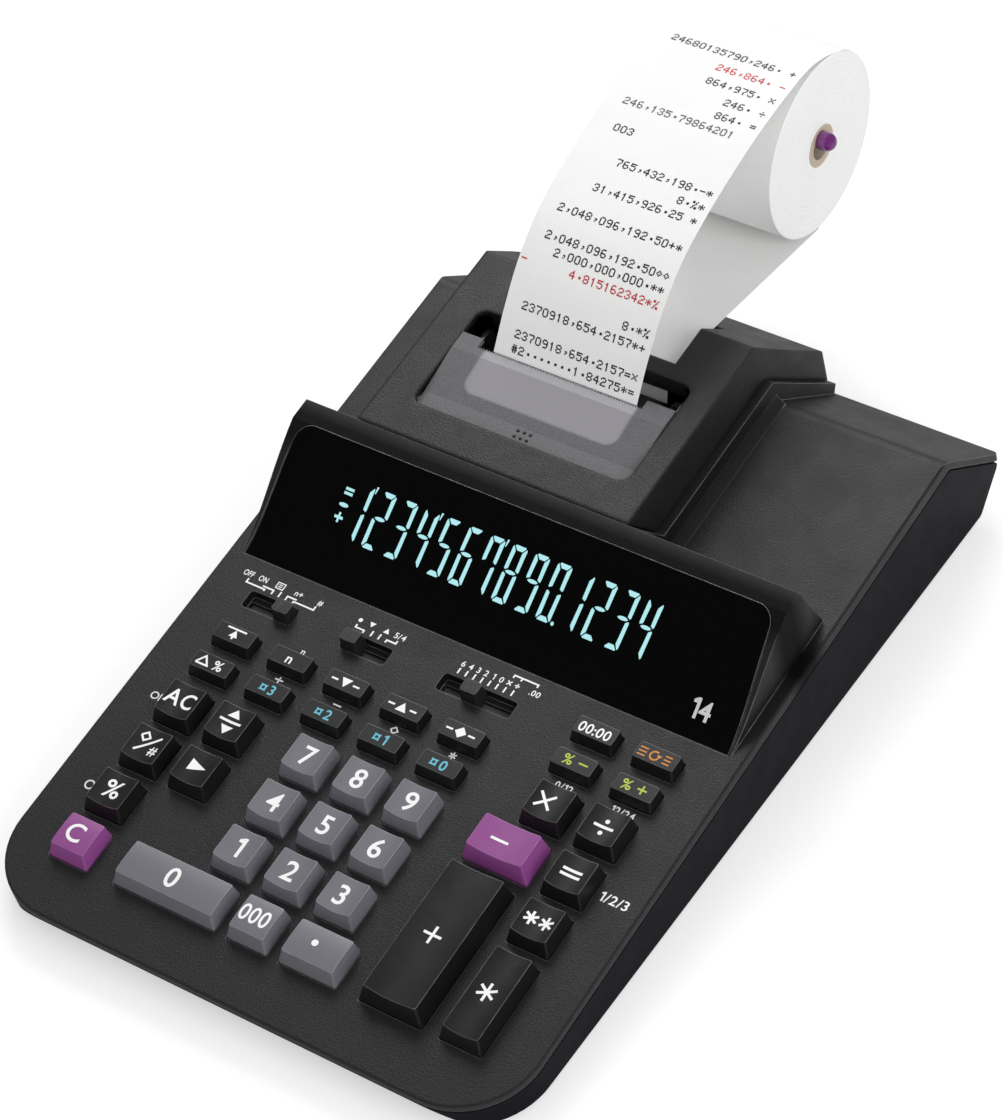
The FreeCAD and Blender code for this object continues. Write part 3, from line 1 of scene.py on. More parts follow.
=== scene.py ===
# %% [markdown]
# # A desktop printing calculator
#
# The rigid pieces come from the CAD model, which stays as it is: their sizes and places are right
# already. What is left is the look: moulded plastic, glass, rubber, card and paper, the marks on
# the keys, the glowing display, the wound roll and the printed strip.

# %% Load the imported model
import json
import math
import random

import bmesh
import bpy
from mathutils import Matrix, Vector
from mathutils.bvhtree import BVHTree

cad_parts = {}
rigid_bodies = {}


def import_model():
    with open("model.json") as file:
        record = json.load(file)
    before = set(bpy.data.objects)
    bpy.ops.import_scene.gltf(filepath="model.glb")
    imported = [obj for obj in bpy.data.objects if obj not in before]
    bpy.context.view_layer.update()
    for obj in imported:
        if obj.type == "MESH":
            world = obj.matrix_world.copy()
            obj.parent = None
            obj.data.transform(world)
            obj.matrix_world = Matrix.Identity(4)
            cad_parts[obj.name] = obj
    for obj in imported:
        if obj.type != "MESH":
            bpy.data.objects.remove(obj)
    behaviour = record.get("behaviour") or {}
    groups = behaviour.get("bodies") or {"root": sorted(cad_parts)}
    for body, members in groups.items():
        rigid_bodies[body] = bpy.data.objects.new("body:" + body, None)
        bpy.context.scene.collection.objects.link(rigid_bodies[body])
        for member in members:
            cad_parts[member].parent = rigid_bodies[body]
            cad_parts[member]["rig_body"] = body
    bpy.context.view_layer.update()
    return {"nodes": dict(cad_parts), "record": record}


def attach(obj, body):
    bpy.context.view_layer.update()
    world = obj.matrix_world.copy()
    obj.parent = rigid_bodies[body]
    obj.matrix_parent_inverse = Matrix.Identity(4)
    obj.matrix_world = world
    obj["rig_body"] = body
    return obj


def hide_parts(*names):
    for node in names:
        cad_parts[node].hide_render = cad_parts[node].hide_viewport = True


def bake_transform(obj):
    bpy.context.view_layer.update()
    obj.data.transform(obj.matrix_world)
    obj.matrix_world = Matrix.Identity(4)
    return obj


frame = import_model()
nodes = frame["nodes"]
print("CAD nodes:", len(nodes))

# %% [markdown]
# ## The deck frame
#
# The key deck of the real machine slopes a little towards the user, and almost every mark on it is
# easiest to measure along that slope. So small pieces are laid out in deck millimetres: x to the
# right, y away from the user with 0 at the row of the 7 key, z out of the deck. One matrix brings
# them into the model's frame.

# %% Deck millimetres to model metres
MM = 0.001
DECK_TILT = math.radians(6.83)
DECK_ORIGIN = (0.0, -0.112984, 0.02396)
DECK = Matrix.Translation(DECK_ORIGIN) @ Matrix.Rotation(DECK_TILT, 4, "X")
DECK_TURN = DECK.to_3x3()
DECK_UP = DECK_TURN @ Vector((0, 0, 1))


def at_deck(x, y, z):
    """A point given in deck millimetres, as model metres."""
    return DECK @ Vector((x * MM, y * MM, z * MM))


print("Deck origin in the model:", [round(c, 4) for c in at_deck(0, 0, 0)])

# %% [markdown]
# ## Camera
#
# The photograph was taken from the front right with a long lens, which keeps the far end of the
# machine almost as wide as the near end. The sensor is fitted to the picture's height, so the same
# lens works for the tall frame of the photograph.

# %% Camera at the photograph's angle
view_data = bpy.data.cameras.new("view_camera")
view_data.sensor_fit = "VERTICAL"
view_data.sensor_height = 36.0
view_data.lens = 124.2124
view_data.clip_start = 0.05
view_camera = bpy.data.objects.new("view_camera", view_data)
view_camera.location = (0.578193, -0.695133, 0.973979)
view_camera.rotation_euler = [math.radians(a) for a in (43.4021, 6.9242, 33.7567)]
bpy.context.scene.collection.objects.link(view_camera)
bpy.context.scene.camera = view_camera
print("Camera lens:", view_data.lens, "mm")

# %% [markdown]
# ## Wiring nodes
#
# The world, the floor and every finish are wired from shader nodes with the same few steps: make a
# node, set its numbers, link its inputs. Short tools for these steps let the recipes further down
# read like lists of ingredients.

# %% Tools for nodes
def feed(tree, value, socket):
    """Give an input a link from another node, or a plain value."""
    if isinstance(value, bpy.types.NodeSocket):
        tree.links.new(value, socket)
    elif socket.type == "RGBA":
        socket.default_value = (*value, 1.0)
    else:
        socket.default_value = value


def feed_named(tree, node, **values):
    """Feed several inputs by their names, with _ for each space."""
    for word, value in values.items():
        feed(tree, value, node.inputs[word.replace("_", " ")])


def add_node(tree, kind, sockets=None, **settings):
    """One node: its properties are set first, then its inputs are fed."""
    made = tree.nodes.new("ShaderNode" + kind)
    for word, value in settings.items():
        setattr(made, word, value)
    for place, value in (sockets or {}).items():
        feed(tree, value, made.inputs[place])
    return made


def maths(tree, operation, *values, clamp=False):
    """One maths node; each value is a socket or a number."""
    made = add_node(tree, "Math", dict(enumerate(values)), operation=operation, use_clamp=clamp)
    return made.outputs[0]


def new_finish(name, **values):
    """A material with its tree and its shader, which takes the plain values."""
    finish = bpy.data.materials.new(name)
    finish.use_nodes = True
    shader = finish.node_tree.nodes["Principled BSDF"]
    feed_named(finish.node_tree, shader, **values)
    return finish, finish.node_tree, shader


print("Tools for nodes are ready")

# %% [markdown]
# ## Studio
#
# A product like this is shot on a white sweep with large soft lamps. The main softbox stands behind
# and to the left, so the right-hand faces of the keys fall into shade, and a weaker one near the
# camera fills the right side; it is polarised, so it lights the colours and leaves no shine. No
# lamp stands in front at the left, where the display lens would mirror it. The world is a plain
# grey for lighting, darker in reflections, and white where the camera looks straight at it or
# through clear plastic.

# %% Softboxes
MACHINE_MIDDLE = Vector((0.0, 0.0, 0.04))


def softbox(name, place, size, power):
    """A square area lamp aimed at the machine."""
    lamp = bpy.data.lights.new(name, "AREA")
    lamp.shape = "SQUARE"
    lamp.size = size
    lamp.energy = power
    holder = bpy.data.objects.new(name, lamp)
    holder.location = place
    holder.rotation_euler = (MACHINE_MIDDLE - Vector(place)).to_track_quat("-Z", "Y").to_euler()
    bpy.context.scene.collection.objects.link(holder)
    return holder


softbox("softbox_main", (-0.5, 0.8, 0.95), size=0.7, power=8.7)
fill = softbox("softbox_fill", (1.35, -0.45, 0.8), size=1.1, power=13.0)
fill.visible_glossy = False

# %% World: grey for light, dim in mirrors, white for the eye
LIGHT_OF_WORLD = 0.62
SEEN_WORLD = 1.0
LOST_IN_MIRRORS = -0.46
world = bpy.data.worlds.new("studio")
world.use_nodes = True
bpy.context.scene.world = world
world_tree = world.node_tree
ray = add_node(world_tree, "LightPath").outputs
seen_plainly = maths(world_tree, "MAXIMUM", ray["Is Camera Ray"], ray["Is Transmission Ray"])
strength = add_node(world_tree, "MapRange", {
    "Value": seen_plainly, "To Min": LIGHT_OF_WORLD, "To Max": SEEN_WORLD}).outputs["Result"]
mirrored = maths(world_tree, "MULTIPLY_ADD", ray["Is Glossy Ray"], LOST_IN_MIRRORS, strength)
feed_named(world_tree, world_tree.nodes["Background"], Strength=mirrored, Color=(1.0, 1.0, 1.0))
print("World nodes:", len(world_tree.nodes))

# %% Floor
FLOOR_HALF = 3.0
FLOOR_WHITE = (0.60, 0.60, 0.60)
FLOOR_LIFT = 0.47
floor_mesh = bpy.data.meshes.new("floor")
floor_mesh.from_pydata([(x * FLOOR_HALF, y * FLOOR_HALF, 0)
                        for x, y in ((-1, -1), (1, -1), (1, 1), (-1, 1))], [], [(0, 1, 2, 3)])
floor = bpy.data.objects.new("floor", floor_mesh)
bpy.context.scene.collection.objects.link(floor)
sweep, sweep_tree, unused_shader = new_finish("white_sweep")
sweep_tree.nodes.remove(unused_shader)
matt_white = add_node(sweep_tree, "BsdfDiffuse", {"Color": FLOOR_WHITE})
seen_by_eye = add_node(sweep_tree, "LightPath").outputs["Is Camera Ray"]
lift_white = add_node(sweep_tree, "Emission", {
    "Strength": maths(sweep_tree, "MULTIPLY", seen_by_eye, FLOOR_LIFT)})
both = add_node(sweep_tree, "AddShader", {0: matt_white.outputs[0], 1: lift_white.outputs[0]})
feed_named(sweep_tree, sweep_tree.nodes["Material Output"], Surface=both.outputs[0])
floor_mesh.materials.append(sweep)
bpy.context.scene.view_settings.view_transform = "Standard"
print("Floor:", FLOOR_HALF * 2, "m across")

# %% [markdown]
# ## Shared effects
#
# Moulded plastic looks like plastic because of small things that many pieces share: a fine spark
# eroded grain, edges that are a little round, polished by hands and painted lighter where they
# catch the light as a painted highlight, dust that settles on what faces up, and smudges in the
# gloss. Each is built once as a node group with named sockets and put into the materials with its
# own values. Groups only pass on masks, values, colours and normals.

# %% A short way to make groups, and what they are made from
def new_group(name, inputs, **outputs):
    """A shader group with named float inputs: the group, what comes in and what goes out."""
    group = bpy.data.node_groups.new(name, "ShaderNodeTree")
    for label, value in inputs.items():
        socket = group.interface.new_socket(label, in_out="INPUT", socket_type="NodeSocketFloat")
        socket.default_value = value
    for label, kind in outputs.items():
        group.interface.new_socket(label, in_out="OUTPUT", socket_type="NodeSocket" + kind)
    return (group, group.nodes.new("NodeGroupInput").outputs,
            group.nodes.new("NodeGroupOutput").inputs)


def spot(tree):
    """The place on the object."""
    return add_node(tree, "TexCoord").outputs["Object"]


def parts_of(tree, vector):
    """The X, Y and Z of a vector."""
    return add_node(tree, "SeparateXYZ", {0: vector}).outputs


def noise(tree, scale, detail, place=None, distortion=0.0):
    """Soft noise over the object; scale is in patches per metre."""
    return add_node(tree, "TexNoise", {
        "Vector": place or spot(tree), "Scale": scale, "Detail": detail,
        "Distortion": distortion}).outputs["Fac"]


def swing(tree, value, amount):
    """A noise value moved to swing around zero by an amount."""
    return maths(tree, "MULTIPLY", maths(tree, "SUBTRACT", value, 0.5), amount)


def diagonal(tree, x, y):
    """The length of the diagonal over two sides."""
    squares = [maths(tree, "MULTIPLY", side, side) for side in (x, y)]
    return maths(tree, "SQRT", maths(tree, "ADD", *squares))


print("Helpers for node groups are ready")

# %% Moulded grain: fine pits and bumps, with a slow drift in tone
FLECKS_PER_CELL = 0.55
DRIFT_PATCHES = 38.0
DRIFT_AMOUNT = 0.05
grain, grain_in, grain_out = new_group(
    "moulded_grain", {"Cells per metre": 2600.0, "Unevenness": 0.5}, Height="Float", Tone="Float")
pits = add_node(grain, "TexVoronoi", {
    "Vector": spot(grain), "Scale": grain_in["Cells per metre"]}, feature="SMOOTH_F1")
flecks = noise(grain, maths(grain, "MULTIPLY", grain_in["Cells per metre"], FLECKS_PER_CELL), 3.0)
feed(grain, maths(grain, "ADD", pits.outputs["Distance"], flecks), grain_out["Height"])
uneven = maths(grain, "ADD", swing(grain, flecks, grain_in["Unevenness"]),
               swing(grain, noise(grain, DRIFT_PATCHES, 2.0), DRIFT_AMOUNT))
feed(grain, maths(grain, "ADD", uneven, 1.0), grain_out["Tone"])
print("Group:", grain.name)

# %% Soft edges: a normal that rounds every sharp corner a little
EDGE_GAIN = 6.0
soft_edges, soft_in, soft_out = new_group(
    "soft_edges", {"Radius": 0.0004}, Normal="Vector", Edge="Float")
rounded = add_node(soft_edges, "Bevel", {"Radius": soft_in["Radius"]}, samples=6).outputs["Normal"]
true_face = add_node(soft_edges, "NewGeometry").outputs["Normal"]
turned = add_node(soft_edges, "VectorMath", {0: rounded, 1: true_face}, operation="DOT_PRODUCT")
bent = maths(soft_edges, "SUBTRACT", 1.0, turned.outputs["Value"])
feed(soft_edges, rounded, soft_out["Normal"])
feed(soft_edges, maths(soft_edges, "MULTIPLY", bent, EDGE_GAIN, clamp=True), soft_out["Edge"])
print("Group:", soft_edges.name)

# %% Edge wear and painted highlight: the soft edge, broken up where hands have polished it more, painted lighter where edges catch the light
edge_wear_and_highlight, wear_and_highlight_in, wear_and_highlight_out = new_group(
    "edge_wear_and_highlight", {"Edge": 0.0, "Amount": 0.5, "Patches per metre": 220.0}, Mask="Float")
# This mask brings in a lighter edge colour: partly wear, partly a painted highlight where edges
# catch the light.
patchy = maths(edge_wear_and_highlight, "MULTIPLY", wear_and_highlight_in["Edge"],
               noise(edge_wear_and_highlight, wear_and_highlight_in["Patches per metre"], 4.0))
feed(edge_wear_and_highlight, maths(edge_wear_and_highlight, "MULTIPLY", patchy, wear_and_highlight_in["Amount"], clamp=True),
     wear_and_highlight_out["Mask"])
print("Group:", edge_wear_and_highlight.name)

# %% Settled dust: thin, patchy and only on faces that look up
DUST_PATCHES = 60.0
dust, dust_in, dust_out = new_group(
    "settled_dust", {"Amount": 0.3, "Specks per metre": 900.0}, Mask="Float")
upward = parts_of(dust, add_node(dust, "NewGeometry").outputs["Normal"])["Z"]
faces_up = maths(dust, "POWER", maths(dust, "MAXIMUM", upward, 0.0), 4.0)
speckle = maths(dust, "POWER", maths(dust, "MULTIPLY", noise(dust, DUST_PATCHES, 6.0),
                                     noise(dust, dust_in["Specks per metre"], 2.0)), 2.0)
feed(dust, maths(dust, "MULTIPLY", maths(dust, "MULTIPLY", faces_up, speckle),
                 dust_in["Amount"], clamp=True), dust_out["Mask"])
print("Group:", dust.name)

# %% Finger smudges: slow patches in the gloss with fine streaks
smudge, smudge_in, smudge_out = new_group(
    "finger_smudge", {"Lowest": 0.2, "Highest": 0.4, "Patches per metre": 90.0},
    Roughness="Float")
smudge_range = add_node(smudge, "MapRange", {
    "Value": noise(smudge, smudge_in["Patches per metre"], 5.0, distortion=0.6),
    "From Min": 0.3, "From Max": 0.7,
    "To Min": smudge_in["Lowest"], "To Max": smudge_in["Highest"]})
feed(smudge, smudge_range.outputs["Result"], smudge_out["Roughness"])
print("Group:", smudge.name)

# %% Paper fibre: short pale fibres and a faint cloudiness
FIBRE_STRETCH = (1.0, 0.35, 0.35)
CLOUD_PATCHES = 70.0
PAPER_UNEVEN = 0.05
fibre, fibre_in, fibre_out = new_group(
    "paper_fibre", {"Fibres per metre": 1500.0}, Height="Float", Tone="Float")
stretched = add_node(fibre, "Mapping", {"Vector": spot(fibre), "Scale": FIBRE_STRETCH})
net = noise(fibre, fibre_in["Fibres per metre"], 4.0, place=stretched.outputs["Vector"])
feed(fibre, net, fibre_out["Height"])
uneven = maths(fibre, "ADD", swing(fibre, noise(fibre, CLOUD_PATCHES, 2.0), PAPER_UNEVEN),
               swing(fibre, net, PAPER_UNEVEN))
feed(fibre, maths(fibre, "ADD", uneven, 1.0), fibre_out["Tone"])
print("Group:", fibre.name)

# %% [markdown]
# ## Plastic finishes
#
# The upper case is a matt charcoal with a spark-eroded grain, the tray below it is smoother and
# nearly blue-black, and the keycaps are satin. All are one recipe with other numbers, so one
# function writes the material, and the Principled shader with its plain values stays in it.

# %% The moulded plastic recipe
DUST_COLOUR = (0.30, 0.29, 0.27)
DUST_DULLS = 0.5
COAT_ROUGHNESS = 0.12


def grey(value):
    """A plain grey as a colour."""
    return (value, value, value)


def mix_colours(tree, mask, under, over):
    """A colour mix; each side is a socket or a colour."""
    made = add_node(tree, "Mix", {"Factor": mask, "A": under, "B": over}, data_type="RGBA")
    return made.outputs["Result"]


def toned(tree, colour, tone):
    """A colour made lighter and darker by a tone around one."""
    made = add_node(tree, "VectorMath", {0: colour, "Scale": tone}, operation="SCALE")
    return made.outputs["Vector"]


def place_group(tree, group, **values):
    """A shared effect set into a material with its own numbers; gives back what comes out."""
    made = add_node(tree, "Group", node_tree=group)
    feed_named(tree, made, **values)
    return made.outputs


def emboss(tree, shader, height, depth, **over):
    """A bump on the shader's normal, over a softened normal if one is given."""
    bump = add_node(tree, "Bump", {"Distance": depth, "Height": height})
    feed_named(tree, bump, **over)
    feed_named(tree, shader, Normal=bump.outputs["Normal"])


def moulded_plastic(name, colour, worn_and_highlight_colour, gloss, cells=2600.0, depth=0.00003,
                    unevenness=0.35, radius=0.0004, wear=0.6, dusty=0.25, **plain):
    """A moulded plastic: grain, softened edges that are worn and painted lighter as a highlight,
    dust and uneven gloss.
    """
    finish, tree, shader = new_finish(name, **{"Coat_Roughness": COAT_ROUGHNESS, **plain})
    texture = place_group(tree, grain, Cells_per_metre=cells, Unevenness=unevenness)
    edges = place_group(tree, soft_edges, Radius=radius)
    wear_and_highlight_mask = place_group(tree, edge_wear_and_highlight, Amount=wear, Edge=edges["Edge"])["Mask"]
    settled = place_group(tree, dust, Amount=dusty)["Mask"]
    uneven_gloss = place_group(tree, smudge, Lowest=gloss[0], Highest=gloss[1])["Roughness"]
    # Edges take the lighter edge colour: some real wear and a painted highlight along them.
    base = mix_colours(tree, wear_and_highlight_mask, toned(tree, colour, texture["Tone"]), worn_and_highlight_colour)
    dulled = maths(tree, "ADD", uneven_gloss, maths(tree, "MULTIPLY", settled, DUST_DULLS),
                   clamp=True)
    feed_named(tree, shader, Base_Color=mix_colours(tree, settled, base, DUST_COLOUR),
               Roughness=dulled)
    emboss(tree, shader, texture["Height"], depth, Normal=edges["Normal"])
    return finish


print("Recipe ready: moulded_plastic")

# %% Case, keys and knobs
CHARCOAL = (0.012, 0.012, 0.0128)
CASE_SKIN = {"gloss": (0.46, 0.54), "depth": 0.00009, "unevenness": 1.1, "dusty": 0.05}
FINE_SKIN = {"cells": 5200.0, "depth": 0.000008, "wear": 1.6}
KEY_SKIN = {**FINE_SKIN, "gloss": (0.30, 0.40), "radius": 0.00035}
# The light edge colours of the deck and the keys are partly wear and partly painted highlights
# where the edges catch the light.
FINISHES = {
    "deck_plastic": moulded_plastic("charcoal_deck", CHARCOAL, grey(0.24), **CASE_SKIN,
                                    radius=0.0005, wear=1.5),
    "cover_plastic": moulded_plastic("charcoal_cover", CHARCOAL, grey(0.06), **CASE_SKIN,
                                     radius=0.0018, wear=0.5),
    "base_plastic": moulded_plastic("navy_black_base", (0.0045, 0.0045, 0.0080),
                                    (0.03, 0.03, 0.04), (0.38, 0.46), cells=3400.0,
                                    depth=0.00002, radius=0.0008, dusty=0.1,
                                    Specular_IOR_Level=0.07),
    "key_black": moulded_plastic("key_black", (0.0085, 0.0085, 0.009), grey(0.28), **KEY_SKIN,
                                 dusty=0.08),
    "key_grey": moulded_plastic("key_blue_grey", (0.158, 0.156, 0.178), (0.52, 0.52, 0.56),
                                **KEY_SKIN, dusty=0.08),
    "key_purple": moulded_plastic("key_purple", (0.265, 0.066, 0.255), (0.60, 0.30, 0.58),
                                  **KEY_SKIN, dusty=0.06),
    "knob_black": moulded_plastic("knob_dark", (0.015, 0.015, 0.016), grey(0.20), (0.34, 0.44),
                                  **FINE_SKIN),
    "arm_plastic": moulded_plastic("arm_dark", (0.030, 0.030, 0.032), grey(0.09), (0.42, 0.54)),
    "cap_purple": moulded_plastic("cap_purple", (0.150, 0.016, 0.165), (0.28, 0.08, 0.30),
                                  (0.14, 0.22), cells=5200.0, depth=0.000004, wear=0.2,
                                  dusty=0.03, Coat_Weight=0.5),
    "head_plastic": moulded_plastic("head_dark", grey(0.012), grey(0.05), (0.38, 0.5)),
}
print("Plastic finishes:", len(FINISHES))

# %% [markdown]
# ## Rubber, steel and board
#
# Feet, key mat and platen are rubber: dull, with a fine chalky bloom. The frame and the screws are
# plated steel with drawn lines. The circuit board is green lacquer over copper tracks. Most of this
# sits inside and shows only through the printer's window or from below, but it is finished too.

# %% Rubber
BLOOM = 2.2
RUBBER_GLOSS_SPREAD = 0.12


def rubber(name, colour, roughness):
    """Dull rubber with a chalky bloom."""
    return moulded_plastic(name, colour, tuple(c * BLOOM for c in colour),
                           (roughness, roughness + RUBBER_GLOSS_SPREAD), cells=1800.0,
                           depth=0.00004, wear=0.5, dusty=0.4, Specular_IOR_Level=0.3)


FINISHES["platen_rubber"] = rubber("platen_rubber", grey(0.018), 0.62)
FINISHES["mat_rubber"] = rubber("mat_rubber", (0.20, 0.20, 0.19), 0.66)
FINISHES["feet_rubber"] = rubber("feet_rubber", grey(0.022), 0.7)
print("Rubber finishes:", [name for name in FINISHES if name.endswith("rubber")])

# %% Plated steel
DRAWN_LONG = (0.04, 1.0, 1.0)
DRAWN_LINES = 3200.0
LINE_TONE = (0.3, 0.85)
LINE_ROUGHNESS = 0.15


def plated_steel(name, colour, roughness):
    """Plated sheet steel with fine drawn lines along X."""
    finish, tree, shader = new_finish(name, Metallic=1.0)
    drawn = add_node(tree, "Mapping", {"Vector": spot(tree), "Scale": DRAWN_LONG})
    lines = noise(tree, DRAWN_LINES, 3.0, place=drawn.outputs["Vector"])
    edges = place_group(tree, soft_edges, Radius=0.0003)
    emboss(tree, shader, lines, 0.000006, Normal=edges["Normal"])
    tone = maths(tree, "MULTIPLY_ADD", lines, *LINE_TONE)
    rough = maths(tree, "MULTIPLY_ADD", lines, LINE_ROUGHNESS, roughness - 0.07)
    feed_named(tree, shader, Base_Color=toned(tree, colour, tone), Roughness=rough)
    return finish


FINISHES["frame_steel"] = plated_steel("frame_steel", (0.52, 0.52, 0.53), 0.34)
FINISHES["screw_steel"] = plated_steel("screw_steel", (0.58, 0.57, 0.53), 0.28)
print("Steel finishes:", [name for name in FINISHES if name.endswith("steel")])

# %% Circuit board and tube glass
FINISHES["board"] = moulded_plastic("board_lacquer", (0.010, 0.085, 0.030), (0.30, 0.22, 0.08),
                                    (0.28, 0.4), cells=900.0, depth=0.00002, unevenness=0.9,
                                    wear=0.3, Coat_Weight=0.4)
FINISHES["tube_glass"] = moulded_plastic("tube_dark_glass", (0.010, 0.014, 0.014),
                                         (0.03, 0.04, 0.04), (0.06, 0.12), depth=0.0, wear=0.1,
                                         dusty=0.0, Coat_Weight=1.0)
print("Board and tube finished")

# %% [markdown]
# ## Display lens
#
# The lens is a curved plate of clear plastic, printed black from behind, so what shows is a mirror
# skin over black with a soft sheen. A base colour close to black, a low specular level and a faint
# coat give that, and the edges are painted pale, a painted highlight of their bevel catching the
# light. The coat's weight and roughness are plain values on the shader, because a mirror has one
# gloss everywhere.

# %% Lens finish
# The pale edge colour here is a painted highlight along the lens's bevelled edges.
FINISHES["lens"] = moulded_plastic("lens_black", (0.0007, 0.0007, 0.0009), (0.30, 0.30, 0.31),
                                   (0.05, 0.09), cells=300.0, depth=0.0, unevenness=0.1,
                                   wear=1.5, dusty=0.0, Coat_Weight=0.06, Coat_Roughness=0.04,
                                   Specular_IOR_Level=0.12)
print("Finish:", FINISHES["lens"].name)

# %% [markdown]
# ## Smoke plate over the printer
#
# The cutter plate is smoke-tinted and half clear. Most of it has a frosted grain, and a smooth
# patch with round corners lets the paper be seen below the tear edge. The patch is a mask worked
# out from the place in the deck frame: inside it the plate turns smoother, lighter and partly
# clear. The clearness is plain alpha: it lets the lamps reach the paper below without the noise
# that light bent by a thick pane would bring.
#
# The same mask, long and soft, paints shade onto the case just behind the lens: a near-black, dull
# band stands in for the shade of the hollow where the real case falls away.

# %% A rounded window as a mask
window_patch, window_in, window_out = new_group("window_patch", {
    "Left": -0.0525, "Right": 0.0105, "Near": 0.140, "Far": 0.170, "Corner": 0.005,
    "Blur": 0.0012}, Mask="Float")
corner = window_in["Corner"]
to_flat = DECK.inverted()
laid_flat = add_node(window_patch, "Mapping", {
    "Vector": spot(window_patch), "Location": to_flat.to_translation(),
    "Rotation": to_flat.to_euler()}, vector_type="POINT")
flat_place = parts_of(window_patch, laid_flat.outputs["Vector"])


def past_side(axis, low, high):
    """How far a place lies outside two limits shrunk by the corner, never below zero."""
    under = maths(window_patch, "SUBTRACT",
                  maths(window_patch, "ADD", window_in[low], corner), flat_place[axis])
    over = maths(window_patch, "SUBTRACT", flat_place[axis],
                 maths(window_patch, "SUBTRACT", window_in[high], corner))
    return maths(window_patch, "MAXIMUM", maths(window_patch, "MAXIMUM", under, over), 0.0)


past_corner = diagonal(window_patch, past_side("X", "Left", "Right"),
                       past_side("Y", "Near", "Far"))
patch_edge = add_node(window_patch, "MapRange", {
    "Value": past_corner, "From Max": corner, "To Min": 1.0, "To Max": 0.0,
    "From Min": maths(window_patch, "SUBTRACT", corner, window_in["Blur"])})
feed(window_patch, patch_edge.outputs["Result"], window_out["Mask"])
print("Group:", window_patch.name)

# %% Painted shade behind the lens
painted_shade_case = FINISHES["deck_plastic"].copy()
painted_shade_case.name = "charcoal_case_painted_shade"
painted_shade_tree = painted_shade_case.node_tree
painted_shade_mask = place_group(painted_shade_tree, window_patch, Left=-0.115, Right=0.115, Near=0.092, Far=0.1160,
                     Corner=0.009, Blur=0.008)["Mask"]
# A near-black, rough colour is mixed in under the mask: painted shade for the hollow behind the
# lens.
for word, painted_shade_value in (("Base Color", (0.0022, 0.0022, 0.0024)), ("Roughness", grey(0.95))):
    socket = painted_shade_tree.nodes["Principled BSDF"].inputs[word]
    feed(painted_shade_tree, mix_colours(painted_shade_tree, painted_shade_mask, socket.links[0].from_socket, painted_shade_value),
         socket)
FINISHES["case_plastic"] = painted_shade_case
print("Finish:", painted_shade_case.name)

# %% Smoke plate finish
FROSTED = (0.128, 0.128, 0.134)
CLEARED = (0.36, 0.35, 0.38)
FROSTED_ROUGHNESS = 0.52
CLEARED_SMOOTHER = -0.30
CLEARED_THINNER = -0.25
smoke, smoke_tree, smoke_shader = new_finish("smoke_plate", IOR=1.49, Specular_IOR_Level=0.3)
clear = place_group(smoke_tree, window_patch)["Mask"]
frost = place_group(smoke_tree, grain, Cells_per_metre=1900.0, Unevenness=0.5)
smoke_edges = place_group(smoke_tree, soft_edges, Radius=0.0004)
feed_named(smoke_tree, smoke_shader,
           Base_Color=mix_colours(smoke_tree, clear, toned(smoke_tree, FROSTED, frost["Tone"]),
                                  CLEARED),
           Roughness=maths(smoke_tree, "MULTIPLY_ADD", clear, CLEARED_SMOOTHER,
                           FROSTED_ROUGHNESS),
           Alpha=maths(smoke_tree, "MULTIPLY_ADD", clear, CLEARED_THINNER, 1.0))
frost_left = maths(smoke_tree, "MULTIPLY", frost["Height"],
                   maths(smoke_tree, "SUBTRACT", 1.0, clear))
emboss(smoke_tree, smoke_shader, frost_left, 0.00008, Normal=smoke_edges["Normal"])
FINISHES["smoke_plastic"] = smoke
print("Finish:", smoke.name)

# %% [markdown]
# ## Paper and card
#
# The strip is thin white paper with faint fibres. On the roll's ends the same paper shows as the
# edges of hundreds of turns, so its finish adds fine rings around the roll's axis. The core is
# grey-brown card.

# %% Paper recipe
def paper_stock(name, colour, depth, rings=None, **plain):
    """Paper with fibres; on wound paper the rings of its turns make the relief instead."""
    finish, tree, shader = new_finish(name, Roughness=0.72, Specular_IOR_Level=0.25, **plain)
    sheet = place_group(tree, fibre)
    base, height = toned(tree, colour, sheet["Tone"]), sheet["Height"]
    if rings:
        ends = place_group(tree, rings)
        base, height = toned(tree, base, ends["Tone"]), ends["Height"]
    feed_named(tree, shader, Base_Color=base)
    emboss(tree, shader, height, depth)
    return finish


FINISHES["paper"] = paper_stock("strip_paper", (0.865, 0.865, 0.86), 0.00001,
                                Subsurface_Weight=0.35, Subsurface_Radius=(1.0, 1.0, 1.0),
                                Subsurface_Scale=0.0005)
FINISHES["core_card"] = paper_stock("core_card", (0.52, 0.44, 0.34), 0.00006)
print("Paper and card finished")

# %% Rings on the ends of the roll
STRIP_MIDDLE = -20.3
ROLL_MIDDLE = (283.6, 29.0)
ROLL_AXIS = at_deck(STRIP_MIDDLE, *ROLL_MIDDLE)
RING_TONE = (0.10, 0.94)
turns, turns_in, turns_out = new_group("wound_turns", {
    "Axis Y": ROLL_AXIS.y, "Axis Z": ROLL_AXIS.z, "Turns per metre": 1500.0},
    Height="Float", Tone="Float")
on_roll = parts_of(turns, spot(turns))
from_axis = diagonal(turns, maths(turns, "SUBTRACT", on_roll["Y"], turns_in["Axis Y"]),
                     maths(turns, "SUBTRACT", on_roll["Z"], turns_in["Axis Z"]))
ring_height = add_node(turns, "TexNoise", {
    "W": from_axis, "Scale": turns_in["Turns per metre"], "Detail": 3.0},
    noise_dimensions="1D").outputs["Fac"]
feed(turns, ring_height, turns_out["Height"])
feed(turns, maths(turns, "MULTIPLY_ADD", ring_height, *RING_TONE), turns_out["Tone"])
roll_paper = paper_stock("wound_paper", (0.90, 0.90, 0.895), 0.00008, rings=turns)
print("Roll axis:", [round(c, 4) for c in ROLL_AXIS])

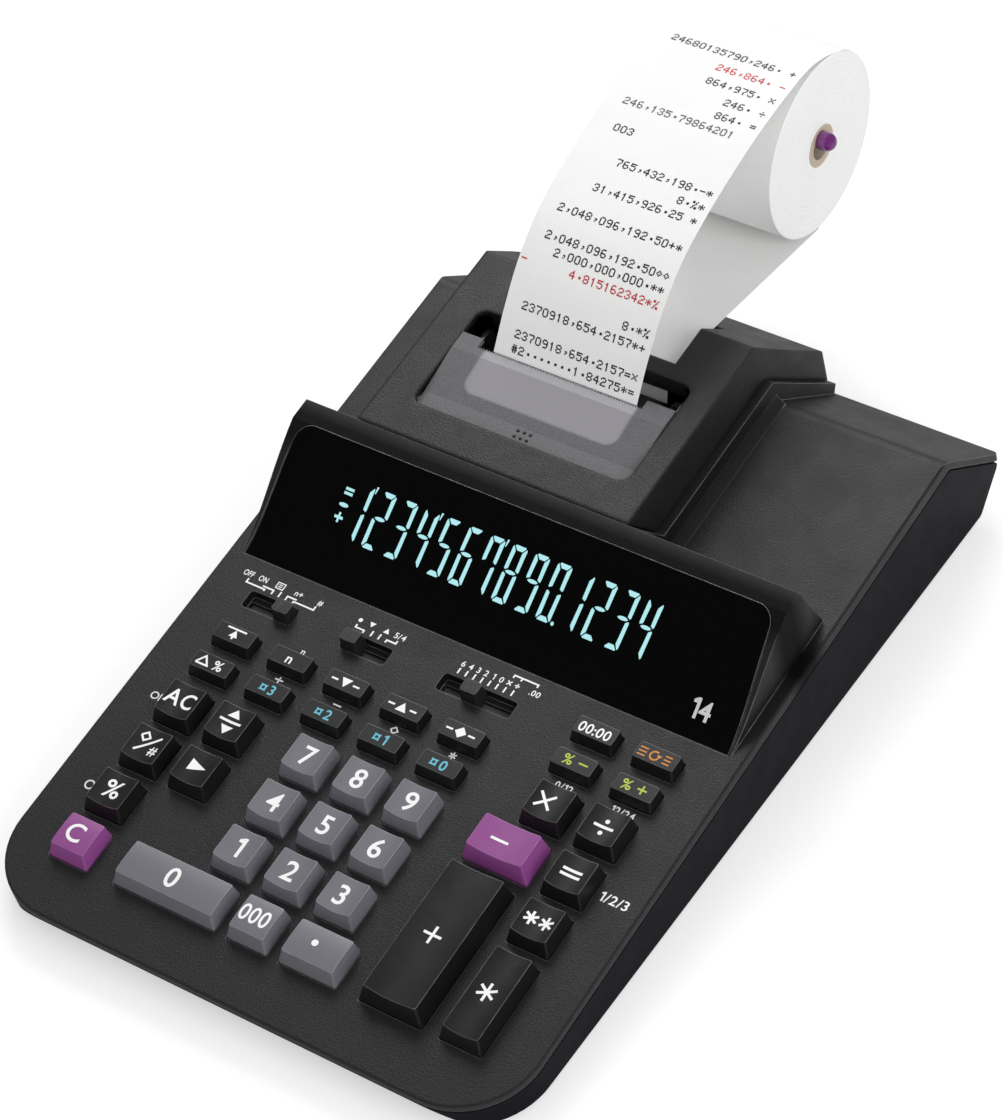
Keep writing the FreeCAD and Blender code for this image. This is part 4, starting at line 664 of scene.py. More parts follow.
# %% [markdown]
# ## Dress the CAD nodes
#
# Each CAD node keeps its shape and takes one of the finishes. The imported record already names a
# material slot for every node, so the slots are read from it, and the table above is keyed by
# the same words. Only the cover and the case have a finish of their own.

# %% Finishes onto the CAD nodes
OWN_FINISH = {"printer_cover": "cover_plastic", "upper_case": "case_plastic"}
slot_of = {part["node"]: part["material_slot"] for part in frame["record"]["subparts"]}
for name, thing in nodes.items():
    thing.data.materials.clear()
    thing.data.materials.append(FINISHES[OWN_FINISH.get(name, slot_of[name])])
print("Dressed:", len(nodes), "nodes with", len(set(slot_of.values())), "slots")

# %% [markdown]
# ## Inks
#
# The marks on keys and case are pad printed: a thin opaque skin, slightly glossier than the plastic
# and never quite even. The digits behind the lens glow by themselves.

# %% Printing inks
TAPE_INK = 0.6
INK_GLOSS_SPREAD = 0.06


def ink(name, colour, roughness=0.4):
    """An opaque printing ink with faint unevenness."""
    finish, tree, shader = new_finish(name)
    texture = place_group(tree, grain, Cells_per_metre=6000.0, Unevenness=0.12)
    gloss = place_group(tree, smudge, Lowest=roughness - INK_GLOSS_SPREAD,
                        Highest=roughness + INK_GLOSS_SPREAD)
    feed_named(tree, shader, Base_Color=toned(tree, colour, texture["Tone"]),
               Roughness=gloss["Roughness"])
    return finish


INKS = {
    "white": ink("ink_white", grey(0.86)),
    "soft_white": ink("ink_soft_white", grey(0.62)),
    "cyan": ink("ink_cyan", (0.12, 0.47, 0.60)),
    "lime": ink("ink_lime", (0.45, 0.56, 0.06)),
    "orange": ink("ink_orange", (0.62, 0.23, 0.03)),
    "black": ink("ink_black", (0.018, 0.018, 0.020), TAPE_INK),
    "grey": ink("ink_grey", (0.10, 0.10, 0.105), TAPE_INK),
    "red": ink("ink_red", (0.56, 0.035, 0.045), TAPE_INK),
}
print("Inks:", ", ".join(INKS))

# %% Glow of the display digits
glow, glow_tree, glow_shader = new_finish("digit_glow", Base_Color=(0.02, 0.03, 0.03),
                                          Roughness=0.25, Emission_Strength=1.0)
glow_spots = place_group(glow_tree, grain, Cells_per_metre=3000.0, Unevenness=0.10)
feed_named(glow_tree, glow_shader,
           Emission_Color=toned(glow_tree, (0.42, 0.80, 0.84), glow_spots["Tone"]))
print("Glow colour set")

# %% [markdown]
# ## How a mark gets onto a curved face
#
# Keytops are dished and the lens is curved, so a flat mark would float or sink. Every mark is drawn
# flat in deck millimetres, cut into small triangles, and each point is dropped down the deck's
# normal until it meets the real surface. Then it is lifted by a few hundredths of a millimetre,
# the thickness of the ink.

# %% Surfaces to drop onto
INK_LIFT = 0.04
KEY_CUT = 1.6
LENS_CUT = 1.5
CASE_CUT = 3.0
CUT_ROUNDS = 5
ABOVE_ALL = 60.0


def skin_of(name):
    """The faces of a CAD node, ready to be searched by a ray."""
    mesh = nodes[name].data
    return BVHTree.FromPolygons([v.co.copy() for v in mesh.vertices],
                                [list(p.vertices) for p in mesh.polygons])


def surface_at(skin, x, y):
    """Where a ray down the deck's normal meets a skin."""
    return skin.ray_cast(at_deck(x, y, ABOVE_ALL), -DECK_UP)[0]


def drop_on(drawing, skin, longest, lift=INK_LIFT):
    """Cut a flat drawing finely, then lay it on a surface."""
    bmesh.ops.triangulate(drawing, faces=drawing.faces)
    for _ in range(CUT_ROUNDS):
        long_edges = [e for e in drawing.edges if e.calc_length() > longest]
        if not long_edges:
            break
        bmesh.ops.subdivide_edges(drawing, edges=long_edges, cuts=1)
        bmesh.ops.triangulate(drawing, faces=drawing.faces)
    for v in drawing.verts:
        foot = surface_at(skin, v.co.x, v.co.y) or at_deck(v.co.x, v.co.y, 0.0)
        v.co = foot + DECK_UP * lift * MM


def keep_piece(name, drawing, finish, body):
    """Turn a drawing into a named piece; one with a body rides on it."""
    mesh = bpy.data.meshes.new(name)
    drawing.to_mesh(mesh)
    drawing.free()
    mesh.materials.append(finish)
    piece = bpy.data.objects.new(name, mesh)
    bpy.context.scene.collection.objects.link(piece)
    if body:
        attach(piece, body)
    return piece


print("Ink lift:", INK_LIFT, "mm")

# %% Signs from the built-in font, with a flagged 1 of its own
DIGIT_TALL = 0.72
STROKE_GROWTH = 0.014
ONE = [(0.24, -0.02), (0.41, -0.02), (0.41, 1.0), (0.24, 1.0),
       (0.03, 0.86), (0.03, 0.72), (0.235, 0.72), (0.235, 0.99)]
sign_shapes = {" ": ([], [], 0.34), "1": (ONE, [(0, 1, 2, 3), (4, 5, 6, 7)], 0.42)}


def sign_shape(sign):
    """Points, faces and width of one sign, with a digit one unit tall."""
    if sign not in sign_shapes:
        text = bpy.data.curves.new("sign", "FONT")
        text.body = sign
        text.resolution_u = 5
        text.offset = STROKE_GROWTH
        holder = bpy.data.objects.new("sign", text)
        bpy.context.scene.collection.objects.link(holder)
        bpy.context.view_layer.update()
        solid = holder.evaluated_get(bpy.context.evaluated_depsgraph_get())
        mesh = bpy.data.meshes.new_from_object(solid)
        left = min(v.co.x for v in mesh.vertices)
        points = [((v.co.x - left) / DIGIT_TALL, v.co.y / DIGIT_TALL) for v in mesh.vertices]
        faces = [tuple(p.vertices) for p in mesh.polygons]
        sign_shapes[sign] = (points, faces, max(p[0] for p in points))
        bpy.data.objects.remove(holder)
        bpy.data.curves.remove(text)
        bpy.data.meshes.remove(mesh)
    return sign_shapes[sign]


def draw_text(drawing, text, x, y, tall, squeeze=1.0, gap=0.10):
    """A line of signs centred on a deck point."""
    shapes = [sign_shape(s) for s in text]
    long = sum(s[2] for s in shapes) + gap * (len(shapes) - 1)
    pen = x - long * tall * squeeze / 2
    for points, faces, width in shapes:
        made = [drawing.verts.new((pen + u * tall * squeeze, y + (v - 0.5) * tall, 0.0))
                for u, v in points]
        for face in faces:
            drawing.faces.new([made[i] for i in face])
        pen += (width + gap) * tall * squeeze


print("Signs with a shape of their own:", len(sign_shapes))

# %% Lines, shapes and dots
SHARPEST_MITRE = 0.4
ARC_STEPS = 18
STAR_ARMS = 6
TRIANGLE_FOOT = 0.8
TRIANGLE_TIP = 0.9


def draw_line(drawing, points, width):
    """A ribbon of even width through a few points, with mitred corners."""
    left, right = [], []
    for i, (x, y) in enumerate(points):
        before = Vector(points[max(i - 1, 0)])
        after = Vector(points[min(i + 1, len(points) - 1)])
        here = Vector((x, y))
        ahead = (after - here).normalized() if after != here else (here - before).normalized()
        behind = (here - before).normalized() if before != here else ahead
        side = Vector((-(ahead.y + behind.y), ahead.x + behind.x)).normalized()
        reach = width / 2 / max(SHARPEST_MITRE, side.dot(Vector((-ahead.y, ahead.x))))
        left.append(drawing.verts.new((x + side.x * reach, y + side.y * reach, 0.0)))
        right.append(drawing.verts.new((x - side.x * reach, y - side.y * reach, 0.0)))
    for i in range(len(points) - 1):
        drawing.faces.new((left[i], right[i], right[i + 1], left[i + 1]))


def draw_bar(drawing, x, y, end_x, end_y, width):
    """A straight stroke between two points."""
    draw_line(drawing, [(x, y), (end_x, end_y)], width)


def draw_plus(drawing, x, y, half, width):
    """A plus of three bars that don't overlap."""
    draw_bar(drawing, x - half, y, x + half, y, width)
    draw_bar(drawing, x, y - half, x, y - width / 2, width)
    draw_bar(drawing, x, y + width / 2, x, y + half, width)


def draw_shape(drawing, points):
    """A filled outline."""
    drawing.faces.new([drawing.verts.new((x, y, 0.0)) for x, y in points])


def on_circle(x, y, radius, turn):
    """A point on a circle, at a share of a full turn."""
    a = 2 * math.pi * turn
    return (x + radius * math.cos(a), y + radius * math.sin(a))


def draw_disc(drawing, x, y, radius, sides=20):
    """A filled round dot."""
    draw_shape(drawing, [on_circle(x, y, radius, i / sides) for i in range(sides)])


def draw_arc(drawing, x, y, radius, start, end, width):
    """A piece of a ring between two angles in degrees."""
    angles = [start + (end - start) * i / ARC_STEPS for i in range(ARC_STEPS + 1)]
    draw_line(drawing, [on_circle(x, y, radius, a / 360) for a in angles], width)


def draw_star(drawing, x, y, radius, width):
    """An asterisk of straight arms, the first one upright."""
    for i in range(STAR_ARMS):
        draw_bar(drawing, x, y, *on_circle(x, y, radius, 0.25 + i / STAR_ARMS), width)


def draw_triangle(drawing, x, y, half, way):
    """A small filled triangle; way is 1 to point up and -1 to point down."""
    foot = y - way * half * TRIANGLE_FOOT
    draw_shape(drawing, [(x - half, foot), (x + half, foot), (x, y + way * half * TRIANGLE_TIP)])


def draw(strokes):
    """A new drawing from a list of tools, each with what it is told."""
    drawing = bmesh.new()
    for tool, *how in strokes:
        tool(drawing, *how)
    return drawing


print("Drawing tools: text, line, bar, plus, shape, disc, arc, star, triangle")

# %% [markdown]
# ## Marks on the keys
#
# Digits and arithmetic signs are the common ones. Keys that carried words get plain signs of their
# kind instead: arrows, a clock's figures, a generic currency sign. The places were measured on the
# photograph after it was laid flat at one height. A keytop lies lower than that, and by its own
# amount, so each mark first slides down the photograph's line of sight to its key's real height.

# %% Laying a mark on its key
LARGE_KEYS_FLAT_AT = 8.2
SMALL_KEYS_FLAT_AT = 5.3
SMALL_LEFT_ROWS = 12.0
SMALL_RIGHT_ROWS = 28.0
RIGHT_BLOCK = 40.0
EYE = DECK.inverted() @ view_camera.location / MM


def slide_down_sight(drawing, skin):
    """Move a drawing from the measuring height to a surface, along the line to the camera."""
    ends = [[pick(v.co[i] for v in drawing.verts) for i in (0, 1)] for pick in (min, max)]
    x, y = [(low + high) / 2 for low, high in zip(*ends)]
    small = y > (SMALL_LEFT_ROWS if x < RIGHT_BLOCK else SMALL_RIGHT_ROWS)
    measured_up = SMALL_KEYS_FLAT_AT if small else LARGE_KEYS_FLAT_AT
    real_up = (DECK.inverted() @ surface_at(skin, x, y)).z / MM
    share = (measured_up - real_up) / (EYE.z - measured_up)
    move = Vector((x - EYE.x, y - EYE.y, 0.0)) * share
    bmesh.ops.translate(drawing, verts=drawing.verts, vec=move)


def mark_keys(table, colour="white"):
    """Draw each key's mark, lay it on the keytop and let it ride on that key."""
    for node, strokes in table.items():
        drawing = draw(strokes)
        skin = skin_of(node)
        slide_down_sight(drawing, skin)
        drop_on(drawing, skin, KEY_CUT)
        keep_piece(node + "_mark", drawing, INKS[colour], nodes[node]["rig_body"])
    print("Keys marked in", colour + ":", len(table))


print("Camera above the deck:", round(EYE.z), "mm")

# %% Digit keys
BIG_TALL = 7.4
mark_keys({"key_digit_" + sign: [(draw_text, sign, x, y, BIG_TALL)] for sign, x, y in (
    ("7", -23.5, -0.6), ("8", -3.1, -0.6), ("9", 17.3, -0.6), ("4", -23.5, -20.3),
    ("5", -3.0, -20.3), ("6", 17.2, -20.3), ("1", -23.9, -39.9), ("2", -3.3, -39.9),
    ("3", 16.9, -39.9), ("0", -37.2, -59.0))})
mark_keys({"key_digit_000": [(draw_text, "000", -4.2, -58.8, 6.1, 0.86, 0.09)],
           "key_decimal_point": [(draw_disc, 19.2, -58.6, 1.2)]})

# %% Arithmetic keys
STROKE = 0.95
CROSSING = STROKE * 0.35
mark_keys({
    "key_minus": [(draw_bar, 48.5, -0.5, 55.1, -0.5, STROKE)],
    "key_plus": [(draw_plus, 51.6, -39.4, 3.3, STROKE)],
    "key_multiply": [(draw_bar, 54.2, 15.8, 59.8, 21.4, STROKE),
                     (draw_bar, 54.2, 21.4, 57.0 - CROSSING, 18.6 + CROSSING, STROKE),
                     (draw_bar, 57.0 + CROSSING, 18.6 - CROSSING, 59.8, 15.8, STROKE)],
    "key_divide": [(draw_bar, 75.7, 18.4, 82.9, 18.4, 1.0), (draw_disc, 79.4, 20.7, 0.8),
                   (draw_disc, 79.3, 16.1, 0.8)],
    "key_equals": [(draw_bar, 75.6, 0.2, 82.8, 0.2, 1.0), (draw_bar, 75.6, -1.8, 82.8, -1.8, 1.0)],
    "key_total": [(draw_star, 78.5, -49.1, 3.4, STROKE)],
    "key_grand_total": [(draw_star, 76.5, -20.2, 2.5, 0.9), (draw_star, 82.1, -20.2, 2.5, 0.9)],
})

# %% Keys at the left
mark_keys({
    "key_clear_all": [(draw_text, "AC", -76.0, -0.6, 6.2, 0.9)],
    "key_clear": [(draw_text, "C", -77.1, -59.3, 7.0)],
    "key_percent": [(draw_text, "%", -75.6, -40.0, 6.8)],
    "key_shift_right": [(draw_shape, [(-58.0, -18.2), (-58.0, -22.8), (-51.5, -20.5)])],
    "key_markup": [(draw_bar, -59.4, -0.9, -51.0, -0.9, 0.9),
                   (draw_shape, [(-57.6, 0.9), (-52.8, 0.9), (-55.2, 4.2)]),
                   (draw_shape, [(-57.6, -2.7), (-55.2, -6.0), (-52.8, -2.7)])],
    "key_sign_change": [(draw_line, [(-79.6, -18.1), (-77.9, -16.4), (-76.2, -18.1),
                                     (-77.9, -19.8), (-79.6, -18.1)], 0.7),
                        (draw_bar, -79.2, -24.1, -72.0, -16.7, 0.8),
                        (draw_text, "#", -72.3, -22.0, 3.7)],
})

# %% Small keys
SMALL_TALL = 3.9
PRICE_UP = 30.4


def between_dashes(x, *middle):
    """A sign of a price, with a short dash on both sides."""
    return [(draw_bar, x - 5.6, PRICE_UP, x - 3.0, PRICE_UP, 0.7),
            (draw_bar, x + 3.0, PRICE_UP, x + 5.6, PRICE_UP, 0.7), middle]


mark_keys({
    "key_paper_feed": [(draw_bar, -80.6, 32.5, -72.8, 32.5, 0.7),
                       (draw_triangle, -76.7, 30.6, 1.7, 1),
                       (draw_bar, -76.7, 28.4, -76.7, 29.3, 0.8)],
    "key_item": [(draw_text, "n", -53.4, PRICE_UP, SMALL_TALL)],
    "key_cost": between_dashes(-30.4, draw_triangle, -30.4, PRICE_UP, 2.1, -1),
    "key_sell": between_dashes(-7.4, draw_triangle, -7.4, PRICE_UP, 2.1, 1),
    "key_margin": between_dashes(15.8, draw_shape, [(13.6, PRICE_UP), (15.8, 28.2),
                                                    (18.0, PRICE_UP), (15.8, 32.6)]),
    "key_change_percent": [(draw_line, [(-82.6, 15.6), (-80.2, 19.0), (-77.8, 15.6),
                                        (-82.6, 15.6)], 0.7),
                           (draw_text, "%", -74.1, 17.2, SMALL_TALL)],
})
mark_keys({"key_currency_" + word: [(draw_text, text, x, 17.0, SMALL_TALL, 1.0, 0.28)]
           for word, text, x in (("3", "¤3", -53.4), ("2", "¤2", -30.4), ("1", "¤1", -7.3),
                                 ("home", "¤0", 15.9))}, "cyan")
mark_keys({"key_time": [(draw_text, "00:00", 55.7, 50.1, SMALL_TALL, 0.95)]})
mark_keys({"key_reprint": [(draw_arc, 78.4, 50.2, 1.6, 60, 350, 0.6),
                           (draw_shape, [(79.0, 50.9), (81.0, 50.9), (80.0, 49.4)])] + [
    (draw_bar, start, row_up, end, row_up, 0.5) for row_up in (48.8, 50.2, 51.6)
    for start, end in ((72.4, 75.4), (81.8, 84.4))]}, "orange")
mark_keys({
    "key_tax_minus": [(draw_text, "%", 53.6, 37.1, SMALL_TALL),
                      (draw_bar, 57.6, 37.1, 61.0, 37.1, 0.6)],
    "key_tax_plus": [(draw_text, "%", 76.0, 37.1, SMALL_TALL), (draw_plus, 81.7, 37.1, 1.7, 0.6)],
}, "lime")

# %% [markdown]
# ## Marks on the deck
#
# Above each slide switch stand figures with ticks or brackets that lead to its stops. They are
# printed on the case, so they are one drawing laid on the upper case's skin.

# %% Ticks, brackets and figures at the switches
TICK = 0.62
TICK_TOP = 54.8
TICK_END = 52.5
FIGURE_UP = 56.7
FIGURE_TALL = 2.3
BRACKETS = (
    [(-89.3, TICK_TOP), (-89.3, 53.2), (-81.5, 53.2), (-81.5, TICK_END)],
    [(-82.9, 54.2), (-78.3, 54.2), (-78.3, TICK_END)],
    [(-72.4, TICK_END), (-72.4, 54.2), (-68.6, 54.2)],
    [(-69.3, TICK_END), (-69.3, 53.2), (-60.9, 53.2), (-60.9, TICK_TOP)],
    [(-43.6, TICK_TOP), (-43.6, 53.6), (-40.0, 53.6), (-40.0, TICK_END)],
    [(-30.7, TICK_END), (-30.7, 53.6), (-27.0, 53.6), (-27.0, TICK_TOP)],
    [(16.9, 59.0), (16.9, 60.1), (26.3, 60.1), (26.3, 59.0)],
    [(20.0, 59.8), (20.0, 58.9)])
FIGURES = (("6", -1.3), ("4", 1.7), ("3", 4.8), ("2", 7.8), ("1", 10.8), ("0", 13.8),
           ("5/4", -27.1), (".00", 27.0), ("n+", -69.2), ("#", -60.2))
deck_strokes = [(draw_line, points, TICK) for points in BRACKETS]
deck_strokes += [(draw_bar, x, TICK_END, x, TICK_TOP, TICK) for x in (
    -75.4, -36.8, -33.7, -1.3, 1.7, 4.8, 7.8, 10.8, 13.8, 16.9, 20.0)]
deck_strokes += [(draw_text, text, x, FIGURE_UP, FIGURE_TALL, 1.0, 0.12) for text, x in FIGURES]
deck_strokes += [(draw_text, text, x, FIGURE_UP, FIGURE_TALL, 0.74, 0.14)
                 for text, x in (("OFF", -90.4), ("ON", -84.3))]
deck_strokes += [
    (draw_bar, 16.1, 55.9, 17.7, 57.5, 0.5), (draw_bar, 16.1, 57.5, 17.7, 55.9, 0.5),
    (draw_bar, 19.1, FIGURE_UP, 20.9, FIGURE_UP, 0.5), (draw_bar, 20.0, 55.8, 20.0, 57.6, 0.5),
    (draw_line, [(-78.6, 55.5), (-78.6, 57.9), (-75.6, 57.9), (-75.6, 55.5), (-78.6, 55.5)], 0.4),
    (draw_bar, -77.9, 56.3, -76.3, 56.3, 0.35), (draw_bar, -77.9, 57.1, -76.3, 57.1, 0.35),
    (draw_disc, -43.5, FIGURE_UP, 0.8), (draw_triangle, -38.7, FIGURE_UP, 1.2, -1),
    (draw_triangle, -32.6, FIGURE_UP, 1.2, 1)]
print("Strokes at the switches:", len(deck_strokes))

# %% Small marks behind the keys
deck_strokes += [
    (draw_text, "ON", -89.0, 0.6, 3.0), (draw_arc, -89.4, -38.7, 1.6, 0, 360, 0.6),
    (draw_text, "1/2/3", 93.0, 0.3, 3.5, 1.05), (draw_text, "12/24", 78.0, 29.6, 3.0, 0.9),
    (draw_text, "0/12", 55.4, 29.6, 3.0, 0.9), (draw_text, "n", -54.0, 37.4, 2.6),
    (draw_bar, -56.6, 24.1, -53.4, 24.1, 0.55), (draw_bar, -55.0, 22.8, -55.0, 25.3, 0.55),
    (draw_bar, -32.6, 24.1, -29.4, 24.1, 0.55),
    (draw_line, [(-9.2, 24.1), (-7.8, 25.4), (-6.4, 24.1), (-7.8, 22.8), (-9.2, 24.1)], 0.5),
    (draw_star, 15.6, 24.1, 1.4, 0.5)]
deck_marks = draw(deck_strokes)
drop_on(deck_marks, skin_of("upper_case"), CASE_CUT)
keep_piece("deck_marks", deck_marks, INKS["white"], "housing")
print("Strokes laid on the case:", len(deck_strokes))

# %% [markdown]
# ## The display's digits
#
# Tubes of this kind have tall, leaning digits of seven strokes with pointed ends. One stroke table
# serves every digit. The strokes are drawn in the lens's own measure and dropped on its face, and
# the emission makes them read as lit from inside.

# %% Seven strokes
DIGIT_WIDE = 5.7
DIGIT_MIDDLE = 10.9
LEAN = 0.09
LENS_BACK = 78.41
LENS_RATE = 0.8137
STROKES = {
    "top": [(0.75, 20.0), (1.0, 20.45), (4.75, 20.45), (4.95, 20.0), (3.95, 18.65), (1.9, 18.65)],
    "bottom": [(0.75, 0.4), (1.0, 0.0), (4.75, 0.0), (4.95, 0.4), (3.8, 1.75), (1.75, 1.75)],
    "middle": [(0.75, 10.9), (1.5, 11.4), (2.85, 11.6), (4.2, 11.4), (4.95, 10.9), (4.2, 10.4),
               (2.85, 10.2), (1.5, 10.4)],
    "left_up": [(0.3, 11.35), (1.35, 12.0), (1.5, 18.2), (0.35, 20.0), (0.0, 19.4), (0.0, 11.9)],
    "left_low": [(0.3, 10.45), (1.35, 9.8), (1.5, 2.3), (0.35, 0.5), (0.0, 1.1), (0.0, 9.9)],
}
for end in ("up", "low"):
    STROKES["right_" + end] = [(DIGIT_WIDE - u, v) for u, v in STROKES["left_" + end]]
LIT = {
    "0": "top bottom left_up left_low right_up right_low", "1": "right_up right_low",
    "2": "top middle bottom right_up left_low", "3": "top middle bottom right_up right_low",
    "4": "left_up middle right_up right_low", "5": "top left_up middle right_low bottom",
    "6": "top left_up left_low middle right_low bottom", "7": "left_up top right_up right_low",
    "8": "top middle bottom left_up left_low right_up right_low",
    "9": "top middle bottom left_up right_up right_low",
}
print("Strokes of a digit:", len(STROKES))

# %% Light up the readout
READOUT = "12345678901234"
FIRST_DIGIT = -62.45
DIGIT_PITCH = 8.87
TICKED = (0, 3, 6)
POINTED = 9
THOUSANDS_TICK = ((0.35, 18.3), (0.70, 18.3), (1.10, 20.9), (0.35, 20.9))
SIGN_COLUMN = -68.6
SIGN_STROKE = 0.8
SIGN_BARS = ((-1.7, 15.0, 1.7, 15.0), (-1.7, 16.6, 1.7, 16.6))
SIGN_OVAL = (1.9, 0.75)
SIGN_PLUS = ((-1.7, 6.4, 1.7, 6.4), (0.0, 4.6, 0.0, 5.9), (0.0, 6.9, 0.0, 8.2))


def on_lens(x, v):
    """Deck x and y of a point v millimetres up the digits' own height."""
    return (x + LEAN * v, LENS_BACK + v * LENS_RATE)


def sign_bars(bars):
    """Straight strokes in the column of signs."""
    return [(draw_bar, *on_lens(SIGN_COLUMN + u, v), *on_lens(SIGN_COLUMN + end_u, end_v),
             SIGN_STROKE) for u, v, end_u, end_v in bars]


lit = []
for count, figure in enumerate(READOUT):
    left = FIRST_DIGIT + count * DIGIT_PITCH - DIGIT_WIDE / 2
    lit += [(draw_shape, [on_lens(left + u, v) for u, v in STROKES[stroke]])
            for stroke in LIT[figure].split()]
    if count in TICKED:
        lit.append((draw_shape, [on_lens(left + DIGIT_WIDE + u, v) for u, v in THOUSANDS_TICK]))
point_right = FIRST_DIGIT + POINTED * DIGIT_PITCH + DIGIT_WIDE / 2 + 1.1
lit.append((draw_disc, *on_lens(point_right, 0.5), 0.6, 12))
lit += sign_bars(SIGN_BARS)
lit.append((draw_shape, [on_lens(SIGN_COLUMN + SIGN_OVAL[0] * math.cos(i * math.pi / 8),
                                 DIGIT_MIDDLE + SIGN_OVAL[1] * math.sin(i * math.pi / 8))
                         for i in range(16)]))
lit += sign_bars(SIGN_PLUS)
lens_skin = skin_of("display_lens")
digits = draw(lit)
drop_on(digits, lens_skin, LENS_CUT, lift=0.05)
keep_piece("display_digits", digits, glow, "housing")
print("Digits lit:", len(READOUT))

# %% Figure on the lens
lens_mark = draw([(draw_text, "14", 82.3, 72.7, 6.0, 1.1, 0.04)])
drop_on(lens_mark, lens_skin, LENS_CUT)
keep_piece("lens_figure", lens_mark, INKS["soft_white"], "housing")
print("Lens figure set")

# %% [markdown]
# ## The paper strip
#
# The strip leaves the roll below, dips through the notch into the printer, turns round the platen,
# comes up at the tear edge and lies back in an arch over the roll. It is a ribbon that follows this
# line, in five parts.

# %% The line of the strip
STRIP_HALF = 29.1
STRIP_THICK = 0.14
PLATEN = (166.5, 9.6)
PLATEN_WRAP = 6.65
WRAP_TURNS = range(-21, -176, -11)
WEB_STEPS = 32
TEAR = (158.45, 26.1)
LEAVES_ROLL = (274.2, -4.46)
ENTERS = (178.5, 22.4)
ARCH = [(10.9, 11.7), (24.0, 23.2), (39.6, 32.1), (58.5, 37.3), (87.3, 41.25), (113.5, 41.65),
        (129.5, 39.5), (145.9, 30.6), (153.3, 23.2)]


def through(points, steps):
    """A smooth line through points: each run is a cubic with its neighbours' slope."""
    line = []
    for i in range(len(points) - 1):
        before = points[i - 1] if i else points[i]
        after = points[i + 2] if i + 2 < len(points) else points[i + 1]
        a, b = Vector(points[i]), Vector(points[i + 1])
        run = (b - a).length
        pull_a = (b - Vector(before)).normalized() * run
        pull_b = (Vector(after) - a).normalized() * run
        for k in range(steps):
            t = k / steps
            line.append(a * (2 * t**3 - 3 * t**2 + 1) + pull_a * (t**3 - 2 * t**2 + t)
                        + b * (3 * t**2 - 2 * t**3) + pull_b * (t**3 - t**2))
    line.append(Vector(points[-1]))
    return line


web = [Vector(LEAVES_ROLL).lerp(Vector(ENTERS), i / WEB_STEPS) for i in range(WEB_STEPS - 1)]
wrap = [Vector(on_circle(*PLATEN, PLATEN_WRAP, a / 360)) for a in WRAP_TURNS]
bend_in = through([(180.4, 21.9), ENTERS, (177.2, 20.4), (175.2, 15.0), tuple(wrap[0])], 4)
arch = through([TEAR] + [(TEAR[0] + a, TEAR[1] + b) for a, b in ARCH], 9)
print("Strip line:", len(web + bend_in + wrap + arch), "points")

# %% Measure along the visible side
arch_reach = [0.0]
for a, b in zip(arch, arch[1:]):
    arch_reach.append(arch_reach[-1] + (b - a).length)


def on_arch(far, lift):
    """Deck y and z at a distance along the arch, raised off its outer side."""
    if far < 0:
        way = (arch[0] - wrap[-1]).normalized()
        here = arch[0] + way * far
    else:
        i = next((i for i in range(len(arch) - 1) if arch_reach[i + 1] >= far), len(arch) - 2)
        share = (far - arch_reach[i]) / (arch_reach[i + 1] - arch_reach[i])
        way = (arch[i + 1] - arch[i]).normalized()
        here = arch[i].lerp(arch[i + 1], share)
    return here + Vector((-way.y, way.x)) * lift


print("Arch length:", round(arch_reach[-1], 1), "mm")

# %% The ribbon in five parts
ACROSS = 12
RISE_STEPS = 6
LIES_UNTIL = 235.0
BEHIND_CASE = 240.0
rise = [wrap[-1].lerp(arch[0], i / RISE_STEPS) for i in range(RISE_STEPS + 1)]
hangs_from = next(i for i, here in enumerate(arch) if here.x > LIES_UNTIL)
leaves_case = next(i for i, here in enumerate(web) if here.x < BEHIND_CASE)
STRIP_PARTS = {
    "strip_fed": web[:leaves_case + 1],
    "strip_over_case": web[leaves_case:] + bend_in[:1],
    "strip_in_printer": bend_in[:-1] + wrap[:-1] + rise,
    "printed_strip": arch[:hangs_from + 1],
    "strip_hanging": arch[hangs_from:],
}


def bridge(drawing, first, second, closed=True):
    """Faces between two rows of points; a closed row goes on from its end to its start."""
    count = len(first)
    for k in range(count if closed else count - 1):
        following = (k + 1) % count
        drawing.faces.new((first[k], first[following], second[following], second[k]))


def ribbon_along(line):
    """A ribbon as wide as the paper that follows a line of deck y and z."""
    drawing = bmesh.new()
    edge_to_edge = [STRIP_MIDDLE + STRIP_HALF * (2 * k / ACROSS - 1) for k in range(ACROSS + 1)]
    rows = [[drawing.verts.new(at_deck(x, here.x, here.y)) for x in edge_to_edge]
            for here in line]
    for near, far in zip(rows, rows[1:]):
        bridge(drawing, near, far, closed=False)
    return drawing


strips = {}
for name, line in STRIP_PARTS.items():
    strip = keep_piece(name, ribbon_along(line), FINISHES["paper"], None)
    strip.data.shade_smooth()
    thicken = strip.modifiers.new("paper_thickness", "SOLIDIFY")
    thicken.thickness = STRIP_THICK * MM
    thicken.offset = 0.0
    crisp = strip.modifiers.new("crisp_paper_edges", "EDGE_SPLIT")
    crisp.split_angle = math.radians(40)
    strips[name] = strip
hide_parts("paper_tape")
print("Strip parts:", {name: len(piece.data.polygons) for name, piece in strips.items()})

# %% [markdown]
# ## Print on the strip
#
# The printer strikes small dots in a grid five wide and seven high. Each sign is a short table of
# rows, and each dot becomes one small square on the ribbon's outer side. The sums are made up, with
# the layout of a real tape: a column of amounts with their operators at the right.

